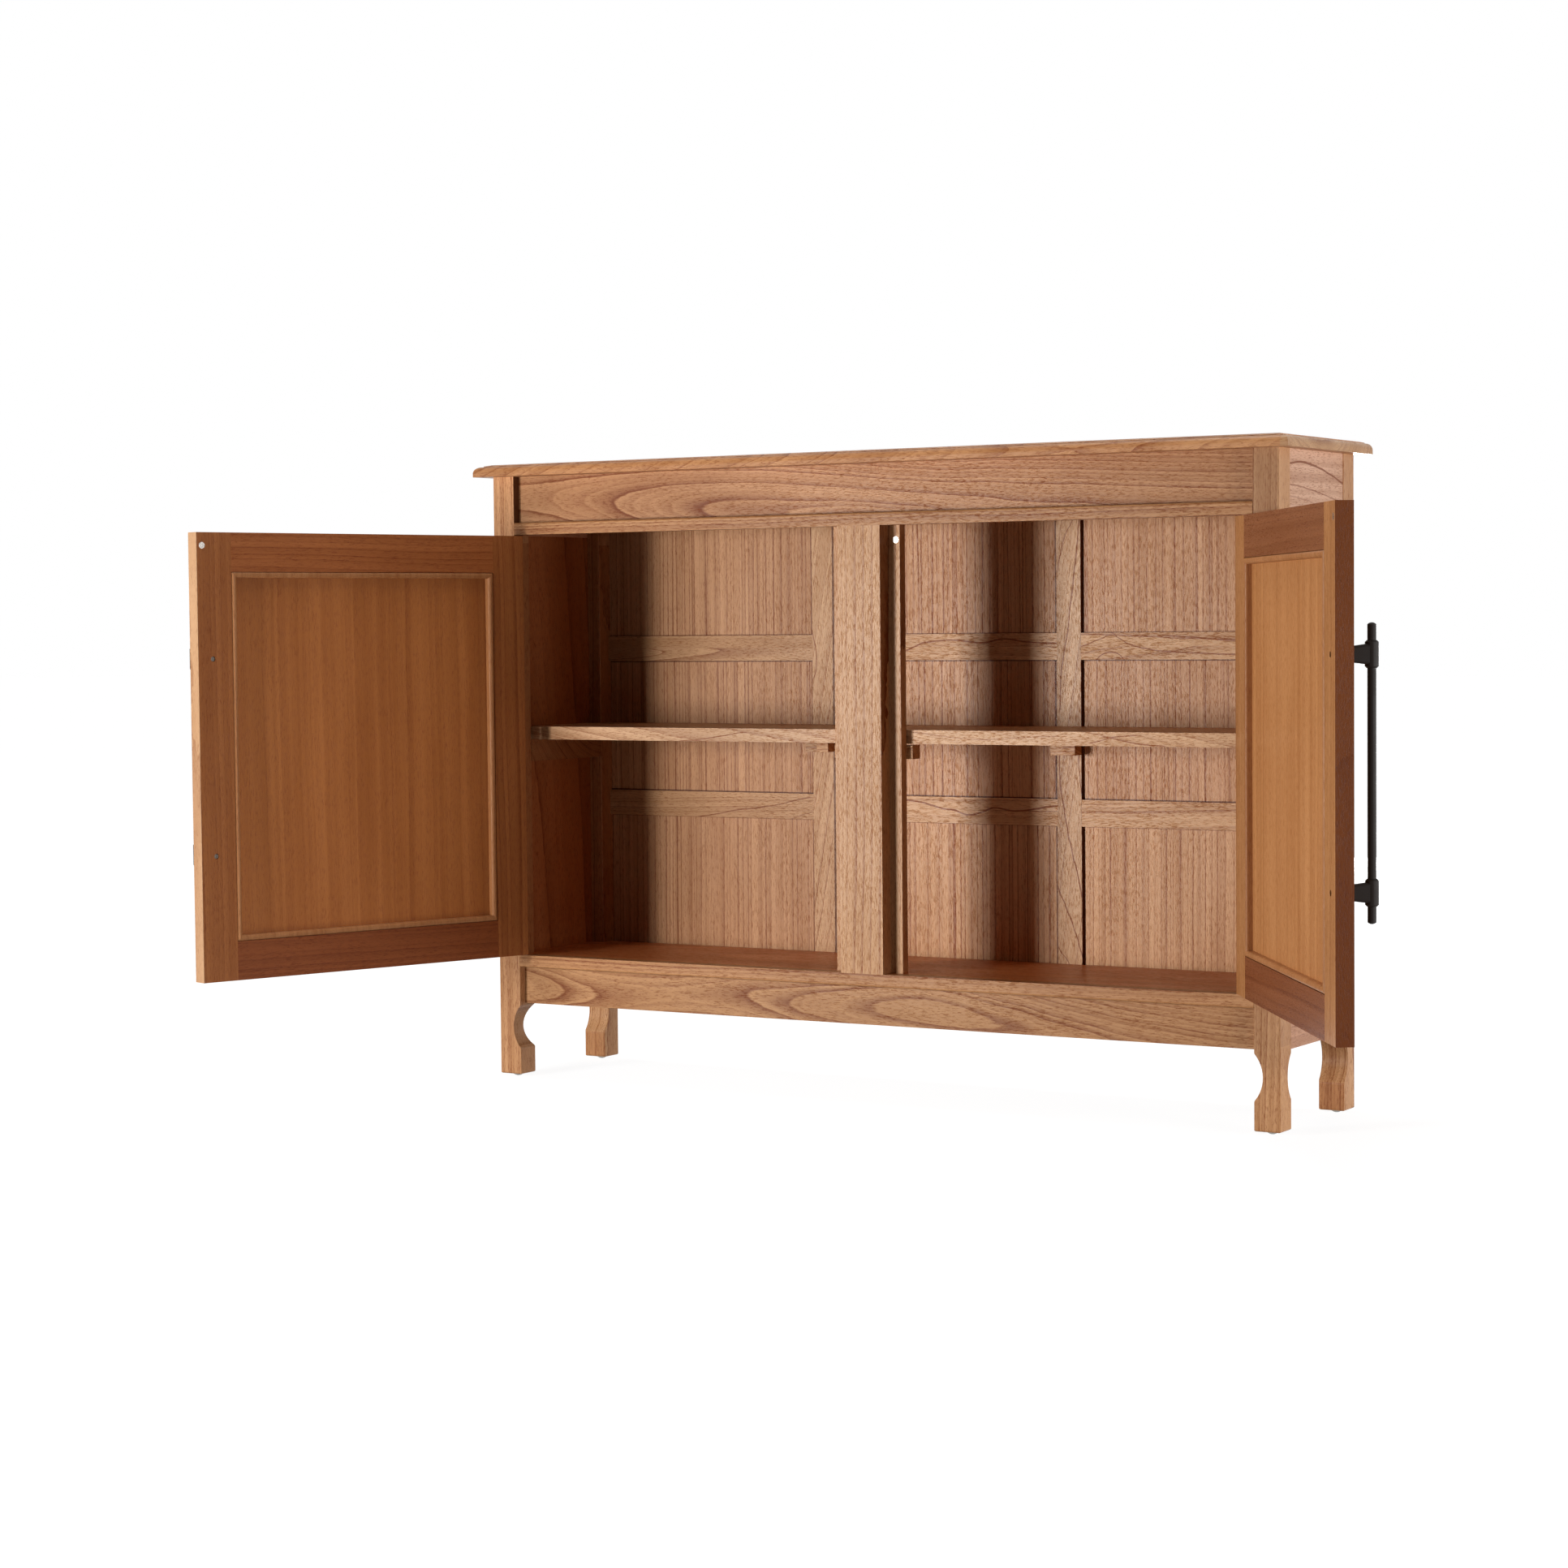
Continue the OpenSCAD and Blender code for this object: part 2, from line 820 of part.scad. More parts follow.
// Strips with a round top all around an opening of w by h, mitred where they meet
module mitred_frame(w, h, strip_w, strip_h) {
    r = min((strip_w - crest_w) / 2, strip_h - strip_foot_h);
    difference() {
        crossed(w, h) {
            rounded_block(w, strip_h, r);
            rounded_block(h, strip_h, r);
        }
        translate([-past, 0, -past]) crossed(w + 2 * past, h + 2 * past) {
            translate([past, 0]) rounded_pool(w, strip_w, strip_h, r);
            translate([past, 0]) rounded_pool(h, strip_w, strip_h, r);
        }
    }
}

module door_bead() {
    at_opening() translate([0, panel_in_y, 0]) mitred_frame(open_w, open_h, bead_w, bead_h);
}

module cane() {
    at_opening() translate([0, cane_out_y, 0]) cube([open_w, cane_t, open_h]);
}

module cane_reed() {
    at_opening() translate([0, cane_out_y, 0]) mirror([0, 1, 0]) mitred_frame(open_w, open_h, reed_w, reed_h);
}

module door_magnet() {
    at_door_magnet() cylinder(h = magnet_t, r = magnet_r);
}

// Handle: a round bar in two collars, each on a tapered neck

module handle_bar() {
    dome_r = (pow(bar_r, 2) + pow(bar_dome_h, 2)) / (2 * bar_dome_h);
    straight = bar_len - 2 * bar_dome_h;
    translate([handle_x, -standoff, handle_z]) {
        cylinder(h = straight, r = bar_r, center = true);
        for (end = [0, 1])
            mirror([0, 0, end]) intersection() {
                translate([0, 0, bar_len / 2 - dome_r]) sphere(dome_r);
                translate([0, 0, straight / 2]) cylinder(h = bar_dome_h + past, r = bar_r);
            }
    }
}

// A thin slice of the neck, for its two ends
module neck_slice(h) {
    r = neck_edge_r;
    slice = 0.1;
    rotate([90, 0, 0]) linear_extrude(slice) hull()
        for (x = [r - neck_w / 2, neck_w / 2 - r], z = [r - h / 2, h / 2 - r])
            translate([x, z]) circle(r, $fn = 24);
}

module handle_post() {
    difference() {
        union() {
            hull() {
                neck_slice(neck_door_h);
                translate([0, -standoff, 0]) neck_slice(neck_bar_h);
            }
            translate([0, -standoff, 0]) {
                cylinder(h = collar_len - 2 * collar_chamfer, r = collar_r, center = true);
                for (end = [0, 1])
                    mirror([0, 0, end]) translate([0, 0, collar_len / 2 - collar_chamfer])
                        cylinder(h = collar_chamfer, r1 = collar_r, r2 = collar_r - collar_chamfer);
            }
        }
        translate([0, -standoff, 0]) cylinder(h = collar_len + past, r = bar_r + fit_play, center = true);
    }
}

module handle_posts() {
    difference() {
        at_handle_posts() handle_post();
        handle_screw_shank(screw_play);
    }
}

// The left door's pieces

module left_hinge_stile() { color(amber) at_left_door() hinge_stile(); }
module left_free_stile() { color(amber) at_left_door() free_stile(); }
module left_door_top_rail() { color(amber) at_left_door() door_rail(door_z1 - frame_w); }
module left_door_bottom_rail() { color(amber) at_left_door() door_rail(door_z0); }
module left_door_panel() { color(dark) at_left_door() door_panel(); }
module left_door_bead() { color(honey) at_left_door() door_bead(); }
module left_cane() { color(cane_colour) at_left_door() cane(); }
module left_cane_reed() { color(cane_colour) at_left_door() cane_reed(); }
module left_door_magnet() { color(nickel) at_left_door() door_magnet(); }
module left_handle_bar() { color(black) at_left_door() handle_bar(); }
module left_handle_posts() { color(black) at_left_door() handle_posts(); }
module left_handle_screws() { color(nickel) at_left_door() handle_screws(); }
module left_hinge_leaves() { color(black) at_left_door() for_hinges() door_leaf(); }
module left_hinge_screws() { color(black) at_left_door() for_hinges() leaf_screws(true); }

// The right door's pieces

module right_hinge_stile() { color(amber) at_right_door() hinge_stile(); }
module right_free_stile() { color(amber) at_right_door() free_stile(); }
module right_door_top_rail() { color(amber) at_right_door() door_rail(door_z1 - frame_w); }
module right_door_bottom_rail() { color(amber) at_right_door() door_rail(door_z0); }
module right_door_panel() { color(amber) at_right_door() door_panel(); }
module right_door_bead() { color(honey) at_right_door() door_bead(); }
module right_cane() { color(cane_colour) at_right_door() cane(); }
module right_cane_reed() { color(cane_colour) at_right_door() cane_reed(); }
module right_door_magnet() { color(nickel) at_right_door() door_magnet(); }
module right_handle_bar() { color(black) at_right_door() handle_bar(); }
module right_handle_posts() { color(black) at_right_door() handle_posts(); }
module right_handle_screws() { color(nickel) at_right_door() handle_screws(); }
module right_hinge_leaves() { color(black) at_right_door() for_hinges() door_leaf(); }
module right_hinge_screws() { color(black) at_right_door() for_hinges() leaf_screws(true); }

top_board();
front_left_post();
front_right_post();
back_left_post();
back_right_post();
foot_glides();
upper_apron();
upper_rail();
lower_rail();
lower_apron();
centre_stile();
door_stop();
stop_magnets();
left_side_panel();
right_side_panel();
side_top_rails();
side_bottom_rails();
back_panel();
back_top_rail();
back_bottom_rail();
back_stiles();
back_cross_rails();
floor_board();
shelf();
shelf_cleats();
shelf_blocks();
top_blocks();
case_hinge_leaves();
hinge_pins();
case_hinge_screws();
left_hinge_stile();
left_free_stile();
left_door_top_rail();
left_door_bottom_rail();
left_door_panel();
left_door_bead();
left_cane();
left_cane_reed();
left_door_magnet();
left_handle_bar();
left_handle_posts();
left_handle_screws();
left_hinge_leaves();
left_hinge_screws();
right_hinge_stile();
right_free_stile();
right_door_top_rail();
right_door_bottom_rail();
right_door_panel();
right_door_bead();
right_cane();
right_cane_reed();
right_door_magnet();
right_handle_bar();
right_handle_posts();
right_handle_screws();
right_hinge_leaves();
right_hinge_screws();
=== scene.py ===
"""Looks of the sideboard: wood, metal and woven cane, with the floor, the lamps and the camera."""
import json
import math

import bmesh
import bpy
import numpy as np
from mathutils import Matrix, Vector


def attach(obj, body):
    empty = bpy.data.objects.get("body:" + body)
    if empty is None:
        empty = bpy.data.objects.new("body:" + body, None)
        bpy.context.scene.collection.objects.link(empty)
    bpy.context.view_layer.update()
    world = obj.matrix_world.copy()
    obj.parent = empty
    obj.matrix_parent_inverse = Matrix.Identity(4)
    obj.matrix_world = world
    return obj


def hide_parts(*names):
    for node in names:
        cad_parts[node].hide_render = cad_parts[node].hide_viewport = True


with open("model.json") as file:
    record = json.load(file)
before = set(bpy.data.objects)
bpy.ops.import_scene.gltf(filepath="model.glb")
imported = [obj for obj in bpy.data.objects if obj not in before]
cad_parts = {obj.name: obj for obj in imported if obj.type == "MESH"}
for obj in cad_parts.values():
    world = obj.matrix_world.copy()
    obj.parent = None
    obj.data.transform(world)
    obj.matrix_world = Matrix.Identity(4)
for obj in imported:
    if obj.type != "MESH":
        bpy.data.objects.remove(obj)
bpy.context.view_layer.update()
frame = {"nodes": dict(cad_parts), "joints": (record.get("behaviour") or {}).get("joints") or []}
nodes = frame["nodes"]

MM = 1000
NEAR_ZERO = 1e-6
WHITE = (1, 1, 1, 1)

# Drawn lines, in millimetres: how many of them one colour ramp holds, how far it reaches past them, how
# soon a line starts, the gap before the next one, and the strength that is left past its sharp edge
RAMP_LINES = 7
RAMP_MARGIN = 2.0
LINE_START = 0.3
LINE_GAP = 0.4
LINE_LEFT = 0.55

# Single strokes: the part of their width that is full, and how far their ends fade out and in
STROKE_CORE = 0.2
STROKE_OUT = 5
STROKE_IN = 2

# The middle part of the range of a noise, which most steps are taken over
MIDDLE = (0.3, 0.7)
EULER = 2.718


class Graph:
    """The node tree of a material or of the world, with short calls that add nodes to it."""

    def __init__(self, owner, output):
        self.owner = owner
        owner.use_nodes = True
        self.tree = owner.node_tree
        self.tree.nodes.clear()
        self.output = self.tree.nodes.new(output)

    def put(self, socket, value):
        if isinstance(value, bpy.types.NodeSocket):
            self.tree.links.new(value, socket)
        elif value is not None:
            socket.default_value = value

    def make(self, kind, inputs=(), **settings):
        node = self.tree.nodes.new(kind)
        for key, value in settings.items():
            setattr(node, key, value)
        for key, value in dict(inputs).items():
            self.put(node.inputs[key], value)
        return node

    def math(self, operation, a, b=None, c=None):
        node = self.make("ShaderNodeMath", operation=operation)
        for index, value in enumerate((a, b, c)):
            self.put(node.inputs[index], value)
        return node.outputs[0]

    def add(self, a, b):
        return self.math("ADD", a, b)

    def sub(self, a, b):
        return self.math("SUBTRACT", a, b)

    def mul(self, a, b):
        return self.math("MULTIPLY", a, b)

    def fall(self, a, rate):
        """A line's fade: 1 where a is 0, and less the further it goes, with rate below 0."""
        return self.math("POWER", EULER, self.mul(a, rate))

    def vector(self, operation, a, b=None, scale=None):
        node = self.make("ShaderNodeVectorMath", operation=operation)
        self.put(node.inputs[0], a)
        if b is not None:
            self.put(node.inputs[1], b)
        if scale is not None:
            self.put(node.inputs["Scale"], scale)
        return node.outputs["Value" if operation in ("DOT_PRODUCT", "LENGTH") else "Vector"]

    def combine(self, x, y, z):
        return self.make("ShaderNodeCombineXYZ", {0: x, 1: y, 2: z}).outputs[0]

    def noise(self, place, scale=1.0, detail=2.0, rough=0.5):
        inputs = {"Vector": place, "Scale": scale, "Detail": detail, "Roughness": rough}
        return self.make("ShaderNodeTexNoise", inputs).outputs["Fac"]

    def noise_at(self, w):
        """Noise along one number."""
        node = self.make("ShaderNodeTexNoise", noise_dimensions="1D")
        self.put(node.inputs["W"], w)
        self.put(node.inputs["Scale"], 1.0)
        self.put(node.inputs["Detail"], 2.0)
        return node.outputs["Fac"]

    def white(self, w):
        """A chance value for each whole number."""
        return self.make("ShaderNodeTexWhiteNoise", {"W": w}, noise_dimensions="1D").outputs["Value"]

    def steps(self, fac, low, high, out_low=0.0, out_high=1.0, smooth=True):
        node = self.make("ShaderNodeMapRange", {0: fac, 1: low, 2: high, 3: out_low, 4: out_high})
        node.interpolation_type = "SMOOTHSTEP" if smooth else "LINEAR"
        return node.outputs[0]

    def mix(self, fac, a, b):
        """One colour over another. The node's sockets 6 and 7 are its colours."""
        return self.make("ShaderNodeMix", {0: fac, 6: a, 7: b}, data_type="RGBA").outputs[2]

    def ramp(self, fac, stops, smooth=False):
        """A curve through (place, value) stops, both from 0 to 1."""
        node = self.make("ShaderNodeValToRGB", {"Fac": fac})
        node.color_ramp.interpolation = "CARDINAL" if smooth else "LINEAR"
        points = node.color_ramp.elements
        points[0].position = stops[0][0]
        points[1].position = stops[-1][0]
        points[0].color = (stops[0][1],) * 3 + (1,)
        points[1].color = (stops[-1][1],) * 3 + (1,)
        for spot, value in stops[1:-1]:
            points.new(spot).color = (value,) * 3 + (1,)
        return node.outputs[0]

    def curve(self, x, points):
        """A smooth curve through (x, y) points."""
        xs = [p[0] for p in points]
        ys = [p[1] for p in points]
        low, high = min(ys), max(ys)
        fac = self.steps(x, xs[0], xs[-1], smooth=False)
        stops = [((a - xs[0]) / (xs[-1] - xs[0]), (b - low) / (high - low)) for a, b in points]
        return self.math("MULTIPLY_ADD", self.ramp(fac, stops, smooth=True), high - low, low)

    def marks(self, r, radii, edge, haze):
        """Dark lines at (radius, strength): each starts sharp on its inner side and fades outwards."""
        total = None
        for first in range(0, len(radii), RAMP_LINES):
            group = radii[first:first + RAMP_LINES]
            low = group[0][0] - RAMP_MARGIN
            high = group[-1][0] + 2 * haze + RAMP_MARGIN
            stops = [(low, 0.0)]
            for index, (radius, strength) in enumerate(group):
                after = group[index + 1][0] if index + 1 < len(group) else high
                end = min(radius + 2 * haze, after - LINE_GAP)
                stops += [(radius - LINE_START, 0.0), (radius, strength),
                          (radius + edge, strength * LINE_LEFT), (end, 0.0)]
            stops.append((high, 0.0))
            fac = self.steps(r, low, high, smooth=False)
            line = self.ramp(fac, [((a - low) / (high - low), b) for a, b in stops])
            total = line if total is None else self.add(total, line)
        return total

    def stroke(self, u, v, points, width, strength):
        """One dark line drawn over a board, through (u, v) points."""
        off = self.math("ABSOLUTE", self.sub(v, self.curve(u, points)))
        line = self.steps(off, width, width * STROKE_CORE, 0.0, strength)
        first, last = points[0][0], points[-1][0]
        start = self.steps(u, first - STROKE_OUT, first + STROKE_IN)
        stop = self.steps(u, last + STROKE_OUT, last - STROKE_IN)
        return self.mul(line, self.mul(start, stop))

    def place(self):
        return self.make("ShaderNodeTexCoord").outputs["Object"]

    def finish(self, shader):
        self.tree.links.new(shader, self.output.inputs["Surface"])
        return self.owner


def material_graph(name):
    return Graph(bpy.data.materials.new(name), "ShaderNodeOutputMaterial")


def srgb(r, g, b):
    """A colour from 0 to 255 as the linear one that nodes take, by the standard's own formula."""
    def linear(c):
        c = c / 255.0
        return c / 12.92 if c <= 0.04045 else ((c + 0.055) / 1.055) ** 2.4
    return (linear(r), linear(g), linear(b), 1.0)


def scaled(colour, r, g, b):
    return (colour[0] * r, colour[1] * g, colour[2] * b, 1.0)


# The spaces that boards are measured in: the world, and each door as it was made, closed, at its pin

X = Vector((1, 0, 0))
Y = Vector((0, 1, 0))
Z = Vector((0, 0, 1))
hinges = {row["name"]: row for row in frame["joints"]}


class Space:
    """Axes of a space in the world at rest, with its origin in metres."""

    def __init__(self, origin, x, y, z):
        self.origin = Vector(origin)
        self.axes = {"x": x, "y": y, "z": z}


def door_space(hinge, side):
    """The space of a door, with side -1 for the left one and 1 for the right one."""
    row = hinges[hinge]
    pin = Vector(row["pos_m"])
    turn = Matrix.Rotation(side * math.radians(-row["range_deg"][0]), 3, "Z")
    origin = Vector((pin.x, pin.y, 0.0))
    return Space(origin, turn @ (-side * X), turn @ Y, Z)


WORLD = Space((0, 0, 0), X, Y, Z)
LEFT = door_space("left_door_hinge", -1)
RIGHT = door_space("right_door_hinge", 1)


def along(g, place, space, axis):
    """The millimetres of a point along one axis of a space."""
    direction = space.axes[axis] * MM
    value = g.vector("DOT_PRODUCT", place, tuple(direction))
    shift = -space.origin.dot(direction)
    return g.add(value, shift) if abs(shift) > NEAR_ZERO else value


# All woods: the tones against the mean one, the shine and roughness, how much rougher pores and patches
# are, the depth of lines and pores in the relief, and the steps between the chance values of boards
LIGHT_WOOD = (1.28, 1.34, 1.40)
DEEP_WOOD = (0.94, 0.88, 0.80)
DARK_WOOD = (0.42, 0.20, 0.08)
WOOD_SHINE = 0.13
WOOD_ROUGH = 0.33
PORE_ROUGH = 0.2
PATCH_ROUGH = 0.14
LINE_DEPTH = -0.4
PORE_DEPTH = -1.0
WOOD_RELIEF = {"Strength": 0.3, "Distance": 0.0003}
SEED_STEP = 7.31
TURN_STEP = 0.37

# Noise in wood, as its size along and across the grain in millimetres
SLOW_NOISE = (300, 80)
FINE_NOISE = (26, 8)
FADE_NOISE = (110, 18)
FLECK_NOISE = (9.0, 1.3)
CLUSTER_NOISE = (60, 14)
PATCH_NOISE = (240, 55)

# Rings: how far fine noise moves them, in widths of their edge, how unevenly they lie, the least and most
# strength that chance gives one, and the shares of its sharp edge and its haze
FINE_MOVE = 1.1
UNEVEN_SCALE = 0.55
UNEVEN_MOVE = 1.9
RING_CHANCE = (0.1, 0.8, 0.4, 1.0)
SHARP_SHARE = 0.85
HAZY_SHARE = 0.3

# Fainter rings: how many to a ring, how far fine noise moves them, their fade and their strength
FAINT_COUNT = 3.3
FAINT_MOVE = 0.5
FAINT_FALL = -3.0
FAINT_SHARE = 0.3

# Lines of a comb: the width of the sharp edge and of the haze behind it. Noise moves these lines and the
# strokes, by up to so many millimetres, and strokes are drawn aside by the mean of that.
COMB_EDGE = 0.85
COMB_HAZE = 1.2
SLOW_MOVE = 3.0
FINE_SHIFT = 1.6
STROKE_SHIFT = 2.3

# Where noise fades lines, as its low and high place and the strength there, then where it makes flecks,
# how flecks and the wood between them show in a line, and where pores lie close or far apart
FADE_STEPS = (0.34, 0.6, 0.68, 1.0)
FLECK_STEPS = (0.5, 0.63)
FLECK_SHARE = 0.45
BETWEEN_SHARE = 0.82
CLUSTER_STEPS = (0.3, 0.65, 0.5, 1.0)

# How dark full lines are, and the size of colour bands against the rings
LINE_DARK = 1.35
STREAK_SCALE = 0.9


def wood(name, space, grain, across, tone, seed, pith=(0.0, 0.0), tilt=(0.0, 0.0), pitch=14.0, line=0.62,
         thick=1.5, haze=5.0, wander=5.0, pore=0.62, band=0.5, heart=None, depth=None, radii=None,
         outer=None, blocks=(), spread=300.0, lean=0.0, strokes=(), combs=(), tints=(), drifts=(), face=None):
    """Wood with growth rings around a pith line that lies beside the board.

    grain and across name the board's axes, and tone is its mean colour. pith is where the ring centre lies
    across the board and behind it in millimetres, and tilt says how it leans along the grain. heart and
    depth draw the same line as curves of (along, place) points. radii lists rings as (radius, strength), or
    else they come by chance, about pitch apart. outer is (radius, low, high): the rings beyond that radius
    only show past high along the grain, and fade in from low. line is the strength of all the lines, thick
    the width of a ring's sharp edge, haze that of its fade and wander how far noise moves it. pore is the
    strength of the pores and band that of the colour bands. blocks are (axis, limit, amount) and tell the
    pieces of one node apart by the side of a plane that they lie on. Each then has its rings up to half of
    spread to the side and leaning by up to lean. strokes are single lines as (points, width, strength), and
    combs are (low, high, lines) with lines that run straight along the grain between two places. tints are
    (limits, tint) for a face or a seam within (axis, low, high) limits, and most of them are painted light
    and shade. drifts are (axis, low, high, shade) for a colour that changes slowly, most of them painted
    light and shade, and limits may follow. face is (axis, limit): blocks and combs are only there on the
    face before that plane.
    """
    mean = srgb(*tone)
    light = scaled(mean, *LIGHT_WOOD)
    deep = scaled(mean, *DEEP_WOOD)
    dark = scaled(mean, *DARK_WOOD)
    g = material_graph(name)
    place = g.place()
    third = [a for a in "xyz" if a not in (grain, across)][0]
    u = along(g, place, space, grain)
    v = along(g, place, space, across)
    w = along(g, place, space, third)

    # Each piece has its own chance values
    start = seed * SEED_STEP
    before = g.math("LESS_THAN", along(g, place, space, face[0]), face[1]) if face else 1.0
    if blocks:
        number = seed
        for axis, limit, amount in blocks:
            beyond = g.math("GREATER_THAN", along(g, place, space, axis), limit)
            number = g.add(g.mul(g.mul(beyond, amount), before), number)
        start = g.mul(number, SEED_STEP)
        shift = g.mul(g.sub(g.white(number), 0.5), spread)
        turn = g.mul(g.sub(g.white(g.add(number, TURN_STEP)), 0.5), 2 * lean)
        moved = g.add(g.add(v, shift), g.mul(u, turn))
    else:
        moved = v
    offset = g.combine(start, start, start) if blocks else (start, start, start)

    def field(size, detail=2.0, rough=0.5):
        long, short = size
        spot = g.combine(g.mul(u, 1 / long), g.mul(v, 1 / short), g.mul(w, 1 / short))
        return g.noise(g.vector("ADD", spot, offset), detail=detail, rough=rough)

    # The distance from the pith, with its wander
    slow = field(SLOW_NOISE, detail=1.0)
    fine = field(FINE_NOISE)
    if heart:
        v1 = g.sub(moved, g.curve(u, heart))
        w1 = g.curve(u, depth)
    else:
        v1 = g.sub(moved, g.math("MULTIPLY_ADD", u, tilt[0], pith[0]))
        w1 = g.sub(w, g.math("MULTIPLY_ADD", u, tilt[1], pith[1]))
    r = g.math("SQRT", g.math("MULTIPLY_ADD", v1, v1, g.mul(w1, w1)))
    r = g.add(r, g.mul(g.sub(slow, 0.5), 2 * wander))
    r = g.add(r, g.mul(g.sub(fine, 0.5), thick * FINE_MOVE))

    # Rings of uneven width, each with its own strength, with fainter ones between
    turns = g.mul(r, 1 / pitch)
    uneven = g.noise_at(g.add(g.mul(turns, UNEVEN_SCALE), start))
    t = g.add(turns, g.mul(uneven, UNEVEN_MOVE))
    finer = g.math("MULTIPLY_ADD", t, FAINT_COUNT, g.mul(fine, FAINT_MOVE))
    small = g.mul(g.fall(g.math("FRACT", finer), FAINT_FALL), g.white(g.math("FLOOR", finer)))
    if radii and outer:
        limit, low, high = outer
        rings = g.marks(r, [m for m in radii if m[0] <= limit], thick, haze)
        others = g.marks(r, [m for m in radii if m[0] > limit], thick, haze)
        rings = g.math("MULTIPLY_ADD", others, g.steps(u, low, high), rings)
    elif radii:
        rings = g.marks(r, radii, thick, haze)
    else:
        chance = g.white(g.add(g.math("FLOOR", t), start))
        strong = g.steps(chance, *RING_CHANCE)
        part = g.math("FRACT", t)
        sharp = g.fall(part, -pitch / thick)
        hazy = g.fall(part, -pitch / haze)
        rings = g.mul(g.math("MULTIPLY_ADD", sharp, SHARP_SHARE, g.mul(hazy, HAZY_SHARE)), strong)
    fade = g.steps(field(FADE_NOISE), *FADE_STEPS)
    lines = g.mul(g.math("MULTIPLY_ADD", small, FAINT_SHARE, rings), g.mul(fade, line))

    # Lines that are drawn over the rings
    waver = g.add(v, g.math("MULTIPLY_ADD", slow, SLOW_MOVE, g.mul(fine, FINE_SHIFT)))
    for low, high, marks in combs:
        rows = g.mul(g.mul(g.math("GREATER_THAN", u, low), g.math("LESS_THAN", u, high)), before)
        lines = g.math("MULTIPLY_ADD", g.marks(waver, marks, COMB_EDGE, COMB_HAZE), rows, lines)
    for points, width, strength in strokes:
        lines = g.add(lines, g.stroke(u, g.sub(waver, STROKE_SHIFT), points, width, strength))

    # Open pores: short dark flecks along the grain, which also break the lines up
    flecks = g.steps(field(FLECK_NOISE, detail=3.0, rough=0.7), *FLECK_STEPS)
    lines = g.mul(lines, g.math("MULTIPLY_ADD", flecks, FLECK_SHARE, BETWEEN_SHARE))
    pores = g.mul(flecks, g.steps(field(CLUSTER_NOISE), *CLUSTER_STEPS))

    # Soft patches, and bands of colour that follow the rings
    patch = field(PATCH_NOISE, detail=3.0)
    streak = g.noise_at(g.add(g.mul(t, STREAK_SCALE), start))
    bands = g.mul(g.steps(streak, *MIDDLE), band)
    shade = g.math("MULTIPLY_ADD", g.steps(patch, *MIDDLE), 1 - band, bands)
    colour = g.mix(shade, light, deep)
    colour = g.mix(g.math("MINIMUM", g.mul(lines, LINE_DARK), 1.0), colour, dark)
    colour = g.mix(g.mul(pores, pore), colour, dark)

    def within(limits):
        there = None
        for axis, low, high in limits:
            spot = along(g, place, space, axis)
            inside = g.mul(g.math("GREATER_THAN", spot, low), g.math("LESS_THAN", spot, high))
            there = g.mul(there, inside) if there else inside
        return there

    # Slow drifts and tints of faces: the boards below use most of them for painted light and shade.
    for axis, low, high, shade, *limits in drifts:
        change = g.steps(along(g, place, space, axis), low, high, 0.0, shade - 1.0)
        if limits:
            change = g.mul(change, within(limits))
        colour = g.vector("SCALE", colour, scale=g.add(change, 1.0))
    for limits, tint in tints:
        colour = g.mix(within(limits), colour, g.vector("MULTIPLY", colour, tint))

    height = g.math("MULTIPLY_ADD", lines, LINE_DEPTH, g.mul(pores, PORE_DEPTH))
    bump = g.make("ShaderNodeBump", {**WOOD_RELIEF, "Height": height})
    pore_gloss = g.math("MULTIPLY_ADD", pores, PORE_ROUGH, WOOD_ROUGH)
    gloss = g.add(g.mul(g.sub(patch, 0.5), PATCH_ROUGH), pore_gloss)
    shader = g.make("ShaderNodeBsdfPrincipled", {"Base Color": colour, "Roughness": gloss,
                                                 "Specular IOR Level": WOOD_SHINE, "Normal": bump.outputs[0]})
    return g.finish(shader.outputs[0])


def dress(material, *names):
    for name in names:
        node = nodes[name]
        node.data.materials.clear()
        node.data.materials.append(material)


# Case. The aprons' rings are drawn, so that their arches lie where the real boards show them: the line of
# the pith as (x, z) and (x, y behind), and the rings as (radius, strength), in millimetres.

UPPER_HEART = [(-555, 813), (-477, 808), (-396, 801), (-261, 790), (-108, 780), (94, 759), (211, 764),
               (352, 760), (555, 752)]
UPPER_DEPTH = [(-555, 81.6), (-477, 79), (-396, 74), (-261, 66.2), (-108, 64), (94, 61.5), (211, 69.8),
               (352, 71.9), (555, 73)]
UPPER_RINGS = [(62.6, 0.5), (64.2, 0.6), (66, 1.0), (68.6, 0.3), (70.6, 0.35), (72.2, 0.3), (74, 1.0),
               (77.5, 0.4), (80.4, 0.35), (83.4, 0.9), (87.2, 0.75), (91.0, 0.5), (94.5, 0.85), (98.5, 0.5),
               (102, 0.8), (106, 0.5), (110, 0.7), (114, 0.5), (118, 0.6)]
LOWER_HEART = [(-555, 128), (-433, 122), (-310, 128), (-189, 133), (-118, 127), (10, 127), (91, 126),
               (172, 117), (251, 105), (351, 90), (450, 82), (555, 76)]
LOWER_DEPTH = [(-555, 70.6), (-484, 73.9), (-433, 76.3), (-310, 78.6), (-189, 76.3), (-118, 73.7),
               (-36, 70.9), (10, 69.3), (91, 67.6), (172, 68.8), (251, 70.2), (351, 72), (450, 74), (555, 75)]
LOWER_RINGS = [(69.4, 0.9), (71.6, 0.3), (73.9, 0.95), (76.4, 0.95), (79.4, 0.45), (82, 0.6), (85, 0.8),
               (88.5, 0.6), (92, 0.85), (96, 0.5), (100, 0.7), (104, 0.5), (108, 0.7)]

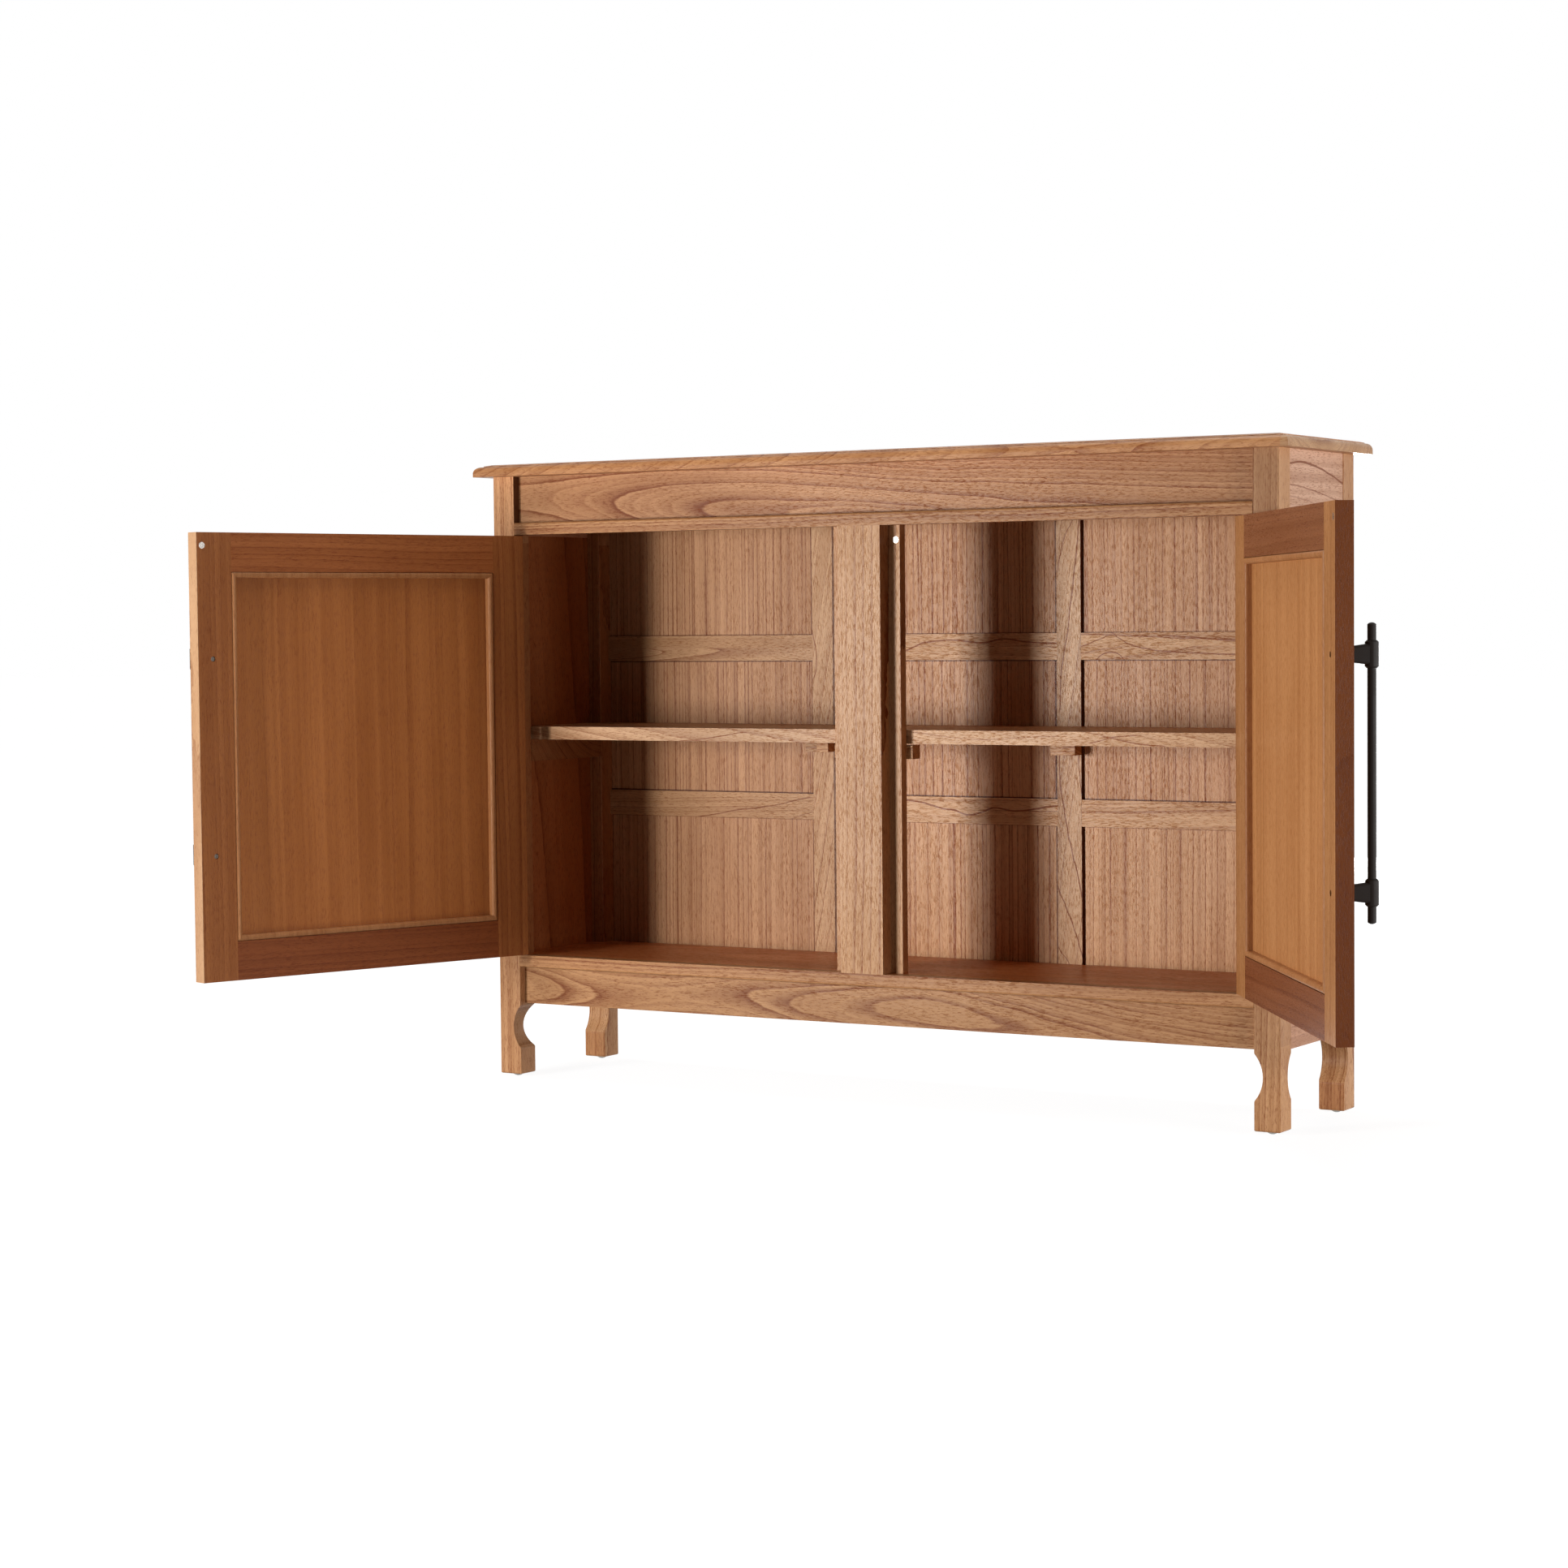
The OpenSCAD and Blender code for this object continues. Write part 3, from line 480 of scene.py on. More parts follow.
# Single grain lines, as points along and across the grain, width and strength
SIDE_STROKES = [
    ([(-86, 822.5), (-60, 825), (-39, 825.2), (0, 821), (29, 816.3), (60, 810), (86, 803.8)], 1.9, 1.0),
    ([(-86, 797), (-40, 794.5), (-3, 791.1), (40, 786), (86, 780.4)], 1.3, 0.6),
    ([(-86, 783), (-50, 781), (-19, 777.6), (40, 769)], 1.2, 0.4)]

# Lines of the back boards, as (x, strength), in the three rows between the rails
BACK_COMBS = [
    (599, 900, [(-500, 0.4), (-476, 0.4), (-452, 0.4), (-437, 0.6), (-423, 0.7), (-410, 0.8), (-384, 0.5),
                (-366, 0.3), (-340, 0.3), (-315, 0.45), (-300, 0.6), (-286, 0.9), (-273, 0.7), (-260, 0.4),
                (-246, 0.7), (-232, 0.5), (-220, 0.6), (-211, 0.6), (-150, 0.6), (-131, 0.7), (-110, 0.5),
                (-88, 0.8), (-70, 0.6), (-47, 0.5), (-34, 1.0), (-17, 0.9), (0, 1.0), (14, 0.6), (30, 0.6),
                (36, 0.9), (49, 0.9), (60, 1.0), (72, 0.8), (84, 0.8), (93, 0.5), (104, 0.4), (122, 0.9),
                (137, 0.8), (154, 0.8), (168, 0.5), (226, 0.5), (243, 0.65), (256, 0.35), (268, 0.35),
                (287, 0.45), (294, 0.4), (306, 0.55), (319, 0.55), (329, 0.6), (345, 0.7), (358, 0.55),
                (377, 0.35), (396, 0.5), (409, 0.5), (420, 0.4), (433, 0.6), (452, 0.4), (470, 0.5)]),
    (376, 599, [(-500, 0.5), (-478, 0.8), (-460, 0.7), (-442, 0.9), (-424, 0.5), (-401, 0.5), (-390, 0.7),
                (-367, 0.9), (-354, 0.7), (-340, 0.75), (-322, 0.7), (-294, 0.3), (-262, 0.25), (-215, 0.8),
                (-150, 0.5), (-132, 0.6), (-112, 0.7), (-90, 0.5), (-70, 0.6), (-50, 0.6), (-40, 0.8),
                (-31, 0.7), (-18, 0.7), (-4, 1.0), (15, 0.8), (35, 1.0), (52, 0.5), (81, 0.6), (134, 1.0),
                (153, 0.9), (170, 0.6), (232, 0.9), (245, 0.8), (260, 0.6), (268, 0.7), (278, 0.6),
                (289, 0.6), (300, 0.55), (310, 0.8), (318, 0.5), (330, 0.7), (346, 0.95), (366, 0.9),
                (388, 1.0), (410, 0.4), (433, 0.5), (455, 0.5)]),
    (0, 376, [(-500, 0.3), (-470, 0.35), (-441, 0.3), (-412, 0.35), (-380, 0.3), (-351, 0.35), (-320, 0.3),
              (-291, 0.3), (-262, 0.35), (-238, 0.3), (-216, 0.4), (-150, 0.5), (-130, 0.6), (-105, 0.5),
              (-84, 0.6), (-66, 0.5), (-47, 0.55), (-28, 0.5), (-10, 0.5), (8, 0.6), (24, 0.7), (40, 0.5),
              (58, 0.75), (77, 0.7), (98, 0.85), (111, 0.5), (126, 1.0), (142, 0.85), (160, 0.9),
              (234, 0.4), (256, 0.35), (275, 0.3), (300, 0.3), (324, 0.4), (338, 0.4), (354, 0.35),
              (380, 0.3), (405, 0.3), (434, 0.45), (460, 0.4)])]

STILE_STROKES = [
    ([(700, 174.9), (721, 178.7), (748, 186.1), (759, 193.4), (790, 206)], 1.3, 0.75),
    ([(515, 177.4), (548, 178.8), (575, 181.4), (613, 188.9), (656, 194), (678, 197.7), (710, 201.5),
      (790, 209)], 1.4, 0.9),
    ([(265, 208.6), (309, 199.2), (336, 192.1), (363, 186.2), (390, 181.5), (417, 176.8), (455, 175.8)],
     1.5, 0.9),
    ([(178, 210.5), (194, 205.8), (216, 198.7), (237, 190.3), (259, 180.7), (275, 173.5)], 1.4, 0.9),
    ([(166, 192.3), (182, 182.7), (195, 173)], 1.3, 0.8),
    ([(401, 209.4), (428, 207.1), (450, 204.8)], 1.3, 0.7),
    ([(550, -209.3), (564, -203.8), (587, -202.2), (604, -204.7), (627, -209.8)], 1.2, 0.6)]

RAIL_STROKES = [
    ([(-59, 594.4), (-37, 603.2), (-18, 606.4), (10, 608.5), (41, 606.1), (66, 604.8), (91, 609.1),
      (122, 605.6), (174, 603.1)], 1.5, 1.0),
    ([(-58, 388.6), (-30, 384.6), (-5, 378.4), (18, 375.6), (36, 370.4), (58, 374.2), (77, 380.1),
      (108, 376.4), (145, 380.4), (173, 384.3)], 1.6, 1.0),
    ([(209, 598.6), (225, 603.9), (243, 610.3), (252, 614)], 1.2, 0.7),
    ([(255, 617), (261, 612.3), (273, 604.7), (290, 598.2), (314, 593.8), (349, 590.4), (432, 588)],
     1.3, 0.8),
    ([(330, 613), (384, 609.4), (432, 604.8)], 1.1, 0.6),
    ([(222, 574), (237, 585.5), (252, 590.8), (267, 586.5), (280, 574)], 1.3, 0.9),
    ([(-403, 357.4), (-348, 366.7), (-293, 373.7), (-252, 381.4), (-215, 389)], 1.2, 0.7),
    ([(-266, 352.4), (-212, 368.5)], 1.1, 0.5)]

SHELF_STROKES = [
    ([(-306, 474.7), (-273, 477.2), (-221, 484.3), (-201, 486.7)], 0.9, 0.8),
    ([(60, 489), (100, 484.5), (160, 480.5), (220, 484), (270, 486)], 0.8, 0.5),
    ([(318, 478), (345, 485), (380, 488)], 1.2, 0.7),
    ([(334, 486), (372, 479), (420, 475)], 1.2, 0.7)]

# Parts of the case as limits, in millimetres
ALL_LEFT = ("x", -600, -500)
ALL_RIGHT = ("x", 500, 600)
RIGHT_HALF = ("x", 0, 600)
POST_FRONT = ("y", -130, -120.5)
LEFT_POST_INSIDE = ("x", -555.4, -554.6)
RIGHT_POST_OUTSIDE = ("x", 589.6, 590.4)
BACK_POST_FRONT = ("y", 85.6, 86.4)

# Painted shade for single faces, and dark seams between boards: partly real joints, partly painted shade
PAINTED_REVEAL_SHADE = (0.2, 0.14, 0.1)
PAINTED_INSIDE_SHADE = (0.8, 0.68, 0.58)
SEAM_AND_SHADE = (0.3, 0.2, 0.14)
FAINT_SEAM_AND_SHADE = (0.55, 0.42, 0.32)

dress(wood("top wood", WORLD, "x", "y", pith=(-60, 700), tilt=(0.05, 0.42), pitch=13, seed=1, wander=9,
           # The top's right end face is tinted paler and greyer: a painted sheen.
           tints=[([("x", 600, 700)], (1.0, 1.18, 1.4))], tone=(179, 127, 84)),
      "top_board")
dress(wood("post wood", WORLD, "z", "x", pith=(1900, -90), tilt=(0.012, 0.0), pitch=8, seed=2, line=0.75,
           # Painted light and shade on the posts: the right feet lighter near the floor, the right front face
           # darker upwards and the left front face lighter upwards.
           drifts=[("z", 110, 40, 1.12, RIGHT_HALF),
                   ("z", 40, 120, 0.86, ALL_RIGHT, POST_FRONT),
                   ("z", 300, 800, 1.25, ALL_LEFT, POST_FRONT),
                   ("z", 120, 800, 0.88, ALL_RIGHT, POST_FRONT)],
           # Painted shade on the left post's face in the upper apron's recess and on the post faces inside
           # the case; painted light on the right post's outer face and the left back post at the foot.
           tints=[([LEFT_POST_INSIDE, ("y", -122, -100), ("z", 749, 900)], PAINTED_REVEAL_SHADE),
                  ([LEFT_POST_INSIDE, ("y", -108, 122), ("z", 160, 749)], PAINTED_INSIDE_SHADE),
                  ([BACK_POST_FRONT], PAINTED_INSIDE_SHADE),
                  ([RIGHT_POST_OUTSIDE, ("y", -130, 0), ("z", 0, 110)], (1.16, 1.2, 1.2)),
                  ([ALL_LEFT, ("y", 80, 130), ("z", 0, 104)], (1.2, 1.3, 1.4))],
           blocks=[("x", 0, 1), ("y", 0, 2)], lean=0.01, pore=0.52, tone=(183, 136, 95)),
      "front_left_post", "front_right_post", "back_left_post", "back_right_post")
dress(wood("upper apron wood", WORLD, "x", "z", heart=UPPER_HEART, depth=UPPER_DEPTH, radii=UPPER_RINGS,
           outer=(86, -430, -250), thick=0.7, haze=1.7, pitch=6, wander=0.5, seed=3, line=0.92,
           # Painted sheen from the middle on, and painted shade towards the right end.
           drifts=[("x", -300, -60, 1.12), ("x", 120, 480, 0.88)], tone=(169, 122, 83)),
      "upper_apron")
dress(wood("lower apron wood", WORLD, "x", "z", heart=LOWER_HEART, depth=LOWER_DEPTH, radii=LOWER_RINGS,
           thick=0.7, haze=1.6, pitch=6, wander=0.4, seed=4, line=0.82, tone=(169, 124, 83)),
      "lower_apron")
dress(wood("rail wood", WORLD, "x", "z", pith=(1300, 60), tilt=(0.006, 0), pitch=6, seed=5, line=0.7,
           blocks=[("z", 400, 1)], tone=(172, 124, 82)),
      "upper_rail", "lower_rail")
dress(wood("stile wood", WORLD, "z", "x", pith=(1260, -60), tilt=(0.012, 0), pitch=12, seed=6, line=0.75,
           pore=0.48, tone=(183, 138, 97)),
      "centre_stile", "door_stop")
dress(wood("side wood", WORLD, "z", "y", pith=(-330, 760), tilt=(0.03, 0.03), pitch=11, seed=7, thick=1.2,
           blocks=[("x", 0, 1)], spread=60, line=0.6, wander=3, tone=(166, 108, 62),
           # The side panels' inner faces are tinted darker and redder: painted shade inside the case.
           tints=[([("x", -575.4, 575.4)], (0.95, 0.86, 0.9))]),
      "left_side_panel", "right_side_panel")
dress(wood("side rail wood", WORLD, "y", "z", pith=(1400, 60), pitch=7, thick=1.0, haze=2.5, seed=8, line=0.3,
           blocks=[("x", 0, 1)], strokes=SIDE_STROKES, tone=(176, 127, 97),
           # The upper side rails are tinted paler and greyer: a painted sheen.
           tints=[([("z", 500, 900)], (1.2, 1.4, 1.6))]),
      "side_top_rails", "side_bottom_rails")

# The back. Its panel is one board in the solids, and its three rows of three boards show on the inner face
# only. The seams lie where the rails and stiles in front of it end, and the dark lines there are partly real
# joints and partly painted shade.
THIRDS = [("x", -191, 1), ("x", 191, 1), ("z", 376, 3), ("z", 599, 3)]
INNER_FACE = ("y", 100, 113)
dress(wood("back wood", WORLD, "z", "x", pith=(2300, 20), pitch=9, seed=9, blocks=THIRDS, face=("y", 114),
           lean=0.008, combs=BACK_COMBS, line=0.8, thick=1.2, haze=2.2, wander=3, band=0.6, pore=0.5,
           tone=(186, 137, 96),
           # Painted shade darkens the left bay's boards. The lower boards of the middle and right bays are
           # tinted lighter and paler.
           tints=[([("x", -600, -191), INNER_FACE], (0.84, 0.84, 0.84)),
                  ([("x", -191, 600), ("z", 0, 376), INNER_FACE], (1.08, 1.12, 1.14)),
                  ([("z", 579.3, 581.1), INNER_FACE], SEAM_AND_SHADE),
                  ([("z", 616.9, 618.3), INNER_FACE], FAINT_SEAM_AND_SHADE),
                  ([("z", 393.9, 395.7), INNER_FACE], SEAM_AND_SHADE),
                  ([("z", 356.9, 358.1), INNER_FACE], FAINT_SEAM_AND_SHADE),
                  ([("x", 168.2, 170.4), INNER_FACE], SEAM_AND_SHADE),
                  ([("x", 208.9, 211.6), INNER_FACE], SEAM_AND_SHADE),
                  ([("x", -213.8, -212), INNER_FACE], FAINT_SEAM_AND_SHADE)]),
      "back_panel")
dress(wood("back frame wood", WORLD, "z", "x", pith=(-160, 130), tilt=(0.17, 0.03), pitch=12, seed=10,
           blocks=[("x", 0, 1)], spread=120, line=0.65, strokes=STILE_STROKES, tone=(184, 143, 104),
           # Painted shade along the right edges of the back stiles.
           tints=[([("x", 208.7, 209.3)], SEAM_AND_SHADE), ([("x", -176, -172)], SEAM_AND_SHADE)]),
      "back_stiles")
dress(wood("back rail wood", WORLD, "x", "z", pith=(600, 140), tilt=(0.02, 0.05), pitch=8, seed=11,
           thick=1.0, blocks=THIRDS, spread=120, line=0.85, strokes=RAIL_STROKES, tone=(194, 149, 106),
           # Painted shade: the pieces in the left bay are darker, and those at the far left darker and redder
           # still.
           tints=[([("x", -600, -191)], (0.76, 0.74, 0.72)),
                  ([ALL_LEFT, ("y", -130, 100)], (0.7, 0.55, 0.45))]),
      "back_cross_rails", "back_top_rail", "back_bottom_rail", "shelf_cleats", "shelf_blocks", "top_blocks")

dress(wood("shelf wood", WORLD, "x", "z", pith=(40, 800), tilt=(0.02, 0.1), pitch=7, seed=12, wander=4,
           # The drift paints shade: the shelf grows darker towards the left bay.
           line=0.6, strokes=SHELF_STROKES, drifts=[("x", 100, -250, 0.78)], tone=(203, 160, 120)),
      "shelf")
dress(wood("floor wood", WORLD, "x", "y", pith=(40, -80), tilt=(0.12, 0.05), pitch=14, seed=13, line=0.5,
           drifts=[("x", 0, -200, 1.12)], tone=(186, 117, 70)),
      "floor_board")


# Doors. Their boards are measured in the door's own space. The drifts of the left panel are the painted shade
# along its bead, and end is the tint of the narrow face at the free edge: a painted highlight on the left
# door and painted shade on the right one. The left door's tones are darker and redder than the right's, a
# painted shade for its inner face.

DOORS = {
    "left": {"space": LEFT, "seed": 20, "stile": (153, 93, 49), "end": (1.15, 1.9, 3.5),
             "rails": {"top": (158, 93, 50), "bottom": (132, 71, 36)}, "panel": (169, 104, 54),
             "painted_bead_shade": [("x", 78, 60, 0.8), ("z", 675, 699, 0.78), ("x", 451, 459, 0.88),
                         ("z", 243, 234, 0.85)]},
    "right": {"space": RIGHT, "seed": 30, "stile": (162, 111, 68), "end": (0.43, 0.25, 0.13),
              "rails": {"top": (124, 75, 46), "bottom": (117, 66, 38)}, "panel": (174, 119, 73),
              "painted_bead_shade": []}}
free_points = nodes["right_free_stile"].data.vertices
free_edge = max((point.co - RIGHT.origin).dot(RIGHT.axes["x"]) for point in free_points) * MM

for side, door in DOORS.items():
    space = door["space"]
    seed = door["seed"]
    dress(wood(side + " stile wood", space, "z", "x", pith=(-1820, 40), tilt=(0.012, 0.01), pitch=9,
               line=0.45, seed=seed + 1, tone=door["stile"], pore=0.4,
               # The narrow face at the free edge: painted highlight on the left door, painted shade on the
               # right one.
               tints=[([("x", free_edge - 0.5, 600)], door["end"])]),
          side + "_hinge_stile", side + "_free_stile")
    for index, (end, tone) in enumerate(door["rails"].items()):
        name = f"{side}_door_{end}_rail"
        dress(wood(name, space, "x", "z", pith=(1400, 60), tilt=(0.01, 0.01), pitch=9, line=0.5,
                   seed=seed + 5 + index, tone=tone, pore=0.45),
              name)
    # The left panel's drifts paint shade along its bead.
    dress(wood(side + " panel wood", space, "z", "x", pith=(1240, 70), tilt=(0.01, 0.03), pitch=16,
               line=0.22, drifts=door["painted_bead_shade"], seed=seed + 3, tone=door["panel"], pore=0.35, band=0.6,
               thick=3),
          side + "_door_panel")
    dress(wood(side + " bead wood", space, "z", "x", pith=(-1200, 90), pitch=7, line=0.25, seed=seed + 4,
               tone=(161, 109, 68), pore=0.3),
          side + "_door_bead", side + "_cane_reed")


# Woven cane: uprights and crosswise strands half a pitch apart, with two sets of slanting ones, over and
# under each other. Two corners of its opening in the door's space and the sizes of a strand, in metres.

CANE_LOW = Vector((0.052, 0.0063, 0.2255))
CANE_HIGH = Vector((0.467, 0.0075, 0.707))
CANE_PITCH = 0.0127
STRAND_W = 0.0023
STRAND_T = 0.0004
STRAND_LIFT = 0.00035
SLANT_LIFT = STRAND_LIFT * 0.35

# A strand across: places from -1 to 1 over its width, with -1 for its outer face and 1 for its inner one
STRAND_RING = ((-1, 0), (-0.45, -1), (0.45, -1), (1, 0), (0, 1))
UV_SCALE = 100


def strand_places(size):
    """Where the straight strands lie across an opening."""
    half = CANE_PITCH / 2
    count = int(size / half)
    offsets = [(k + 0.5) * half for k in range(-count, count)]
    return [offset + size / 2 for offset in offsets if abs(offset) < size / 2 - STRAND_W / 2]


def strand_paths(wide, high):
    """Each strand is a list of points (x, z, lift) across an opening, with lift as how far it stands in."""
    xs = strand_places(wide)
    zs = strand_places(high)
    paths = []
    for i, x in enumerate(xs):
        points = [(x, z, STRAND_LIFT * (1 if (i + j) % 2 else -1)) for j, z in enumerate(zs)]
        paths.append([(x, 0.0, 0.0)] + points + [(x, high, 0.0)])
    for j, z in enumerate(zs):
        points = [(x, z, STRAND_LIFT * (-1 if (i + j) % 2 else 1)) for i, x in enumerate(xs)]
        paths.append([(0.0, z, 0.0)] + points + [(wide, z, 0.0)])
    most = int((wide + high) / 2 / CANE_PITCH) + 1
    for slope in (1, -1):
        for m in range(-most, most + 1):
            # The line x - slope * z = reach, measured from the middle of the opening
            reach = m * CANE_PITCH
            low = max(-wide / 2, reach - high / 2)
            top = min(wide / 2, reach + high / 2)
            if top - low < CANE_PITCH:
                continue
            steps = [low] + [x - wide / 2 for x in xs if low < x - wide / 2 < top] + [top]
            crossings = []
            for x in steps:
                lift = SLANT_LIFT * slope * math.cos(2 * math.pi * (x - reach / 2) / CANE_PITCH)
                crossings.append((x + wide / 2, slope * (x - reach) + high / 2, lift))
            paths.append(crossings)
    return paths


def weave(name, space, material):
    wide = CANE_HIGH.x - CANE_LOW.x
    high = CANE_HIGH.z - CANE_LOW.z
    middle = (CANE_LOW.y + CANE_HIGH.y) / 2
    ring = len(STRAND_RING)
    corners = []
    faces = []
    marks = []
    for path in strand_paths(wide, high):
        spots = np.array(path)
        run = spots[-1, :2] - spots[0, :2]
        length = float(np.linalg.norm(run))
        side = np.array([-run[1], run[0]]) / length * STRAND_W / 2
        first = len(corners)
        for x, z, lift in spots:
            gone = math.hypot(x - spots[0, 0], z - spots[0, 1])
            for across, out in STRAND_RING:
                corners.append((x + side[0] * across, lift + out * STRAND_T / 2, z + side[1] * across))
                marks.append((gone, across * STRAND_W / 2))
        count = len(spots)
        for k in range(count - 1):
            a = first + k * ring
            for s in range(ring):
                t = (s + 1) % ring
                faces.append((a + s, a + t, a + ring + t, a + ring + s))
        last = first + (count - 1) * ring
        faces.append(tuple(first + s for s in reversed(range(ring))))
        faces.append(tuple(last + s for s in range(ring)))
    local = np.array(corners) + np.array([CANE_LOW.x, middle, CANE_LOW.z])
    basis = np.array([space.axes["x"], space.axes["y"], space.axes["z"]])
    world = local @ basis + np.array(space.origin)
    mesh = bpy.data.meshes.new(name)
    mesh.from_pydata(world.tolist(), [], faces)

    # The strand's own map: the way along it and across it, for the fibres
    layer = mesh.uv_layers.new(name="strand")
    at = np.empty(len(mesh.loops), dtype=np.int32)
    mesh.loops.foreach_get("vertex_index", at)
    layer.data.foreach_set("uv", np.array(marks)[at].ravel() * UV_SCALE)
    mesh.polygons.foreach_set("use_smooth", np.ones(len(mesh.polygons), dtype=bool))
    bm = bmesh.new()
    bm.from_mesh(mesh)
    bmesh.ops.recalc_face_normals(bm, faces=bm.faces)
    bm.to_mesh(mesh)
    bm.free()
    mesh.materials.append(material)
    piece = bpy.data.objects.new(name, mesh)
    bpy.context.scene.collection.objects.link(piece)
    return piece


# Cane: its tones, the least and most roughness, and how fibres and joints are stretched along a strand,
# across it and from one strand to the next

CANE_PALE = srgb(222, 184, 130)
CANE_DEEP = srgb(204, 160, 104)
CANE_FIBRE = srgb(176, 128, 76)
CANE_JOINT = srgb(140, 94, 52)
CANE_ROUGH = (0.30, 0.46)
FIBRE_STRETCH = (0.35, 18.0, 40.0)
JOINT_STRETCH = (1.1, 90.0)


def cane_look():
    """Cane with fibres along each strand, darker joints here and there, and a tone for each strand."""
    g = material_graph("cane")
    strand = g.make("ShaderNodeUVMap", uv_map="strand").outputs[0]
    island = g.make("ShaderNodeNewGeometry").outputs["Random Per Island"]
    split = g.make("ShaderNodeSeparateXYZ", {0: strand}).outputs
    fibre_place = g.combine(*(g.mul(a, b) for a, b in zip((split[0], split[1], island), FIBRE_STRETCH)))
    fibre = g.noise(fibre_place, detail=3.0)
    joint_place = g.combine(g.mul(split[0], JOINT_STRETCH[0]), 0.0, g.mul(island, JOINT_STRETCH[1]))
    joint = g.noise(joint_place, detail=2.0)
    fibre_share = g.mul(g.steps(fibre, 0.35, 0.75), 0.55)
    joint_share = g.mul(g.steps(joint, 0.62, 0.75), 0.4)
    tone = g.mix(fibre_share, g.mix(island, CANE_PALE, CANE_DEEP), CANE_FIBRE)
    tone = g.mix(joint_share, tone, CANE_JOINT)
    bump = g.make("ShaderNodeBump", {"Strength": 0.3, "Distance": 0.0002, "Height": fibre})
    gloss = g.steps(fibre, *MIDDLE, *CANE_ROUGH)
    shader = g.make("ShaderNodeBsdfPrincipled", {"Base Color": tone, "Roughness": gloss,
                                                 "Normal": bump.outputs[0]})
    return g.finish(shader.outputs[0])


cane = cane_look()
for side, door in DOORS.items():
    dress(cane, side + "_cane")
    webbing = weave(side + "_cane_weave", door["space"], cane)
    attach(webbing, side + "_door")
    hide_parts(side + "_cane")


# Metal: the scales of its fine and coarse noise, the darker tone against the lighter one, the relief, and
# how far its roughness goes below and above the mean

FINE_METAL = 900.0
COARSE_METAL = 30.0
METAL_SHADE = 0.8
METAL_RELIEF = {"Strength": 0.12, "Distance": 0.0002}
METAL_BELOW = 0.06
METAL_ABOVE = 0.1


def metal(name, colour, rough, metallic, shine=0.5):
    g = material_graph(name)
    place = g.place()
    small = g.noise(place, scale=FINE_METAL, detail=3.0)
    large = g.noise(place, scale=COARSE_METAL, detail=3.0)
    tone = g.mix(large, scaled(colour, METAL_SHADE, METAL_SHADE, METAL_SHADE), colour)
    both = g.add(g.mul(small, 0.5), g.mul(large, 0.5))
    gloss = g.steps(both, *MIDDLE, rough - METAL_BELOW, rough + METAL_ABOVE)
    bump = g.make("ShaderNodeBump", {**METAL_RELIEF, "Height": small})
    shader = g.make("ShaderNodeBsdfPrincipled", {"Base Color": tone, "Roughness": gloss, "Metallic": metallic,
                                                 "Specular IOR Level": shine, "Normal": bump.outputs[0]})
    return g.finish(shader.outputs[0])


black = metal("black metal", srgb(32, 24, 20), 0.5, 0.0, shine=0.14)
nickel = metal("bright metal", srgb(205, 203, 198), 0.25, 1.0)
steel = metal("glide metal", srgb(150, 146, 138), 0.35, 1.0)
dull = metal("dull metal", srgb(104, 98, 92), 0.4, 1.0)
dress(nickel, "stop_magnets", "left_door_magnet", "right_door_magnet")
dress(steel, "foot_glides")
dress(dull, "left_handle_screws", "right_handle_screws")
dress(black, "case_hinge_leaves", "hinge_pins", "case_hinge_screws", "left_hinge_leaves", "left_hinge_screws",
      "right_hinge_leaves", "right_hinge_screws", "left_handle_bar", "left_handle_posts", "right_handle_bar",
      "right_handle_posts")


# Floor and world. What the camera sees directly, or in a shiny surface, is white. The floor still takes
# the object's shadow there, through a thin grey over its glow, and gives less light back to the object.

FLOOR_SIZE = 30.0
FLOOR_TONES = ((0.38, 0.37, 0.36, 1), (0.42, 0.41, 0.40, 1))
SHADOW_GREY = (0.22, 0.22, 0.22, 1)
GLOW_NEAR = 0.93
GLOW_FROM = 0.8
GLOW_TO = 2.0
WORLD_TONE = (1.0, 0.98, 0.96, 1)
WORLD_LEVEL = 0.012


def seen_directly(g):
    rays = g.make("ShaderNodeLightPath").outputs
    both = g.math("MAXIMUM", rays["Is Camera Ray"], rays["Is Glossy Ray"])
    return g.math("MAXIMUM", both, rays["Is Transmission Ray"])


def make_floor():
    g = material_graph("floor")
    mottle = g.noise(g.place(), scale=3.0, detail=3.0)
    body = g.make("ShaderNodeBsdfDiffuse", {"Color": g.mix(mottle, *FLOOR_TONES)})
    thin = g.make("ShaderNodeBsdfDiffuse", {"Color": SHADOW_GREY})
    level = g.steps(g.vector("LENGTH", g.place()), GLOW_FROM, GLOW_TO, GLOW_NEAR, 1.0)
    glow = g.make("ShaderNodeEmission", {"Color": WHITE, "Strength": level})
    bright = g.make("ShaderNodeAddShader", {0: thin.outputs[0], 1: glow.outputs[0]})
    mixed = g.make("ShaderNodeMixShader", {0: seen_directly(g), 1: body.outputs[0], 2: bright.outputs[0]})
    mesh = bpy.data.meshes.new("studio_floor")
    corners = [(x * FLOOR_SIZE, y * FLOOR_SIZE, 0) for x, y in ((-1, -1), (1, -1), (1, 1), (-1, 1))]
    mesh.from_pydata(corners, [], [(0, 1, 2, 3)])
    mesh.materials.append(g.finish(mixed.outputs[0]))
    floor = bpy.data.objects.new("studio_floor", mesh)
    bpy.context.scene.collection.objects.link(floor)


def make_world():
    world = bpy.data.worlds.new("studio")
    bpy.context.scene.world = world
    g = Graph(world, "ShaderNodeOutputWorld")
    low = g.make("ShaderNodeBackground", {"Color": WORLD_TONE, "Strength": WORLD_LEVEL})
    white = g.make("ShaderNodeBackground", {"Color": WHITE, "Strength": 1.0})
    mixed = g.make("ShaderNodeMixShader", {0: seen_directly(g), 1: low.outputs[0], 2: white.outputs[0]})
    g.finish(mixed.outputs[0])


# Lamps, as name, place, target, width, height and watts. The key stands where the shadow edges in both
# bays put it. Those at the sides end below the table top, so that none grazes it.

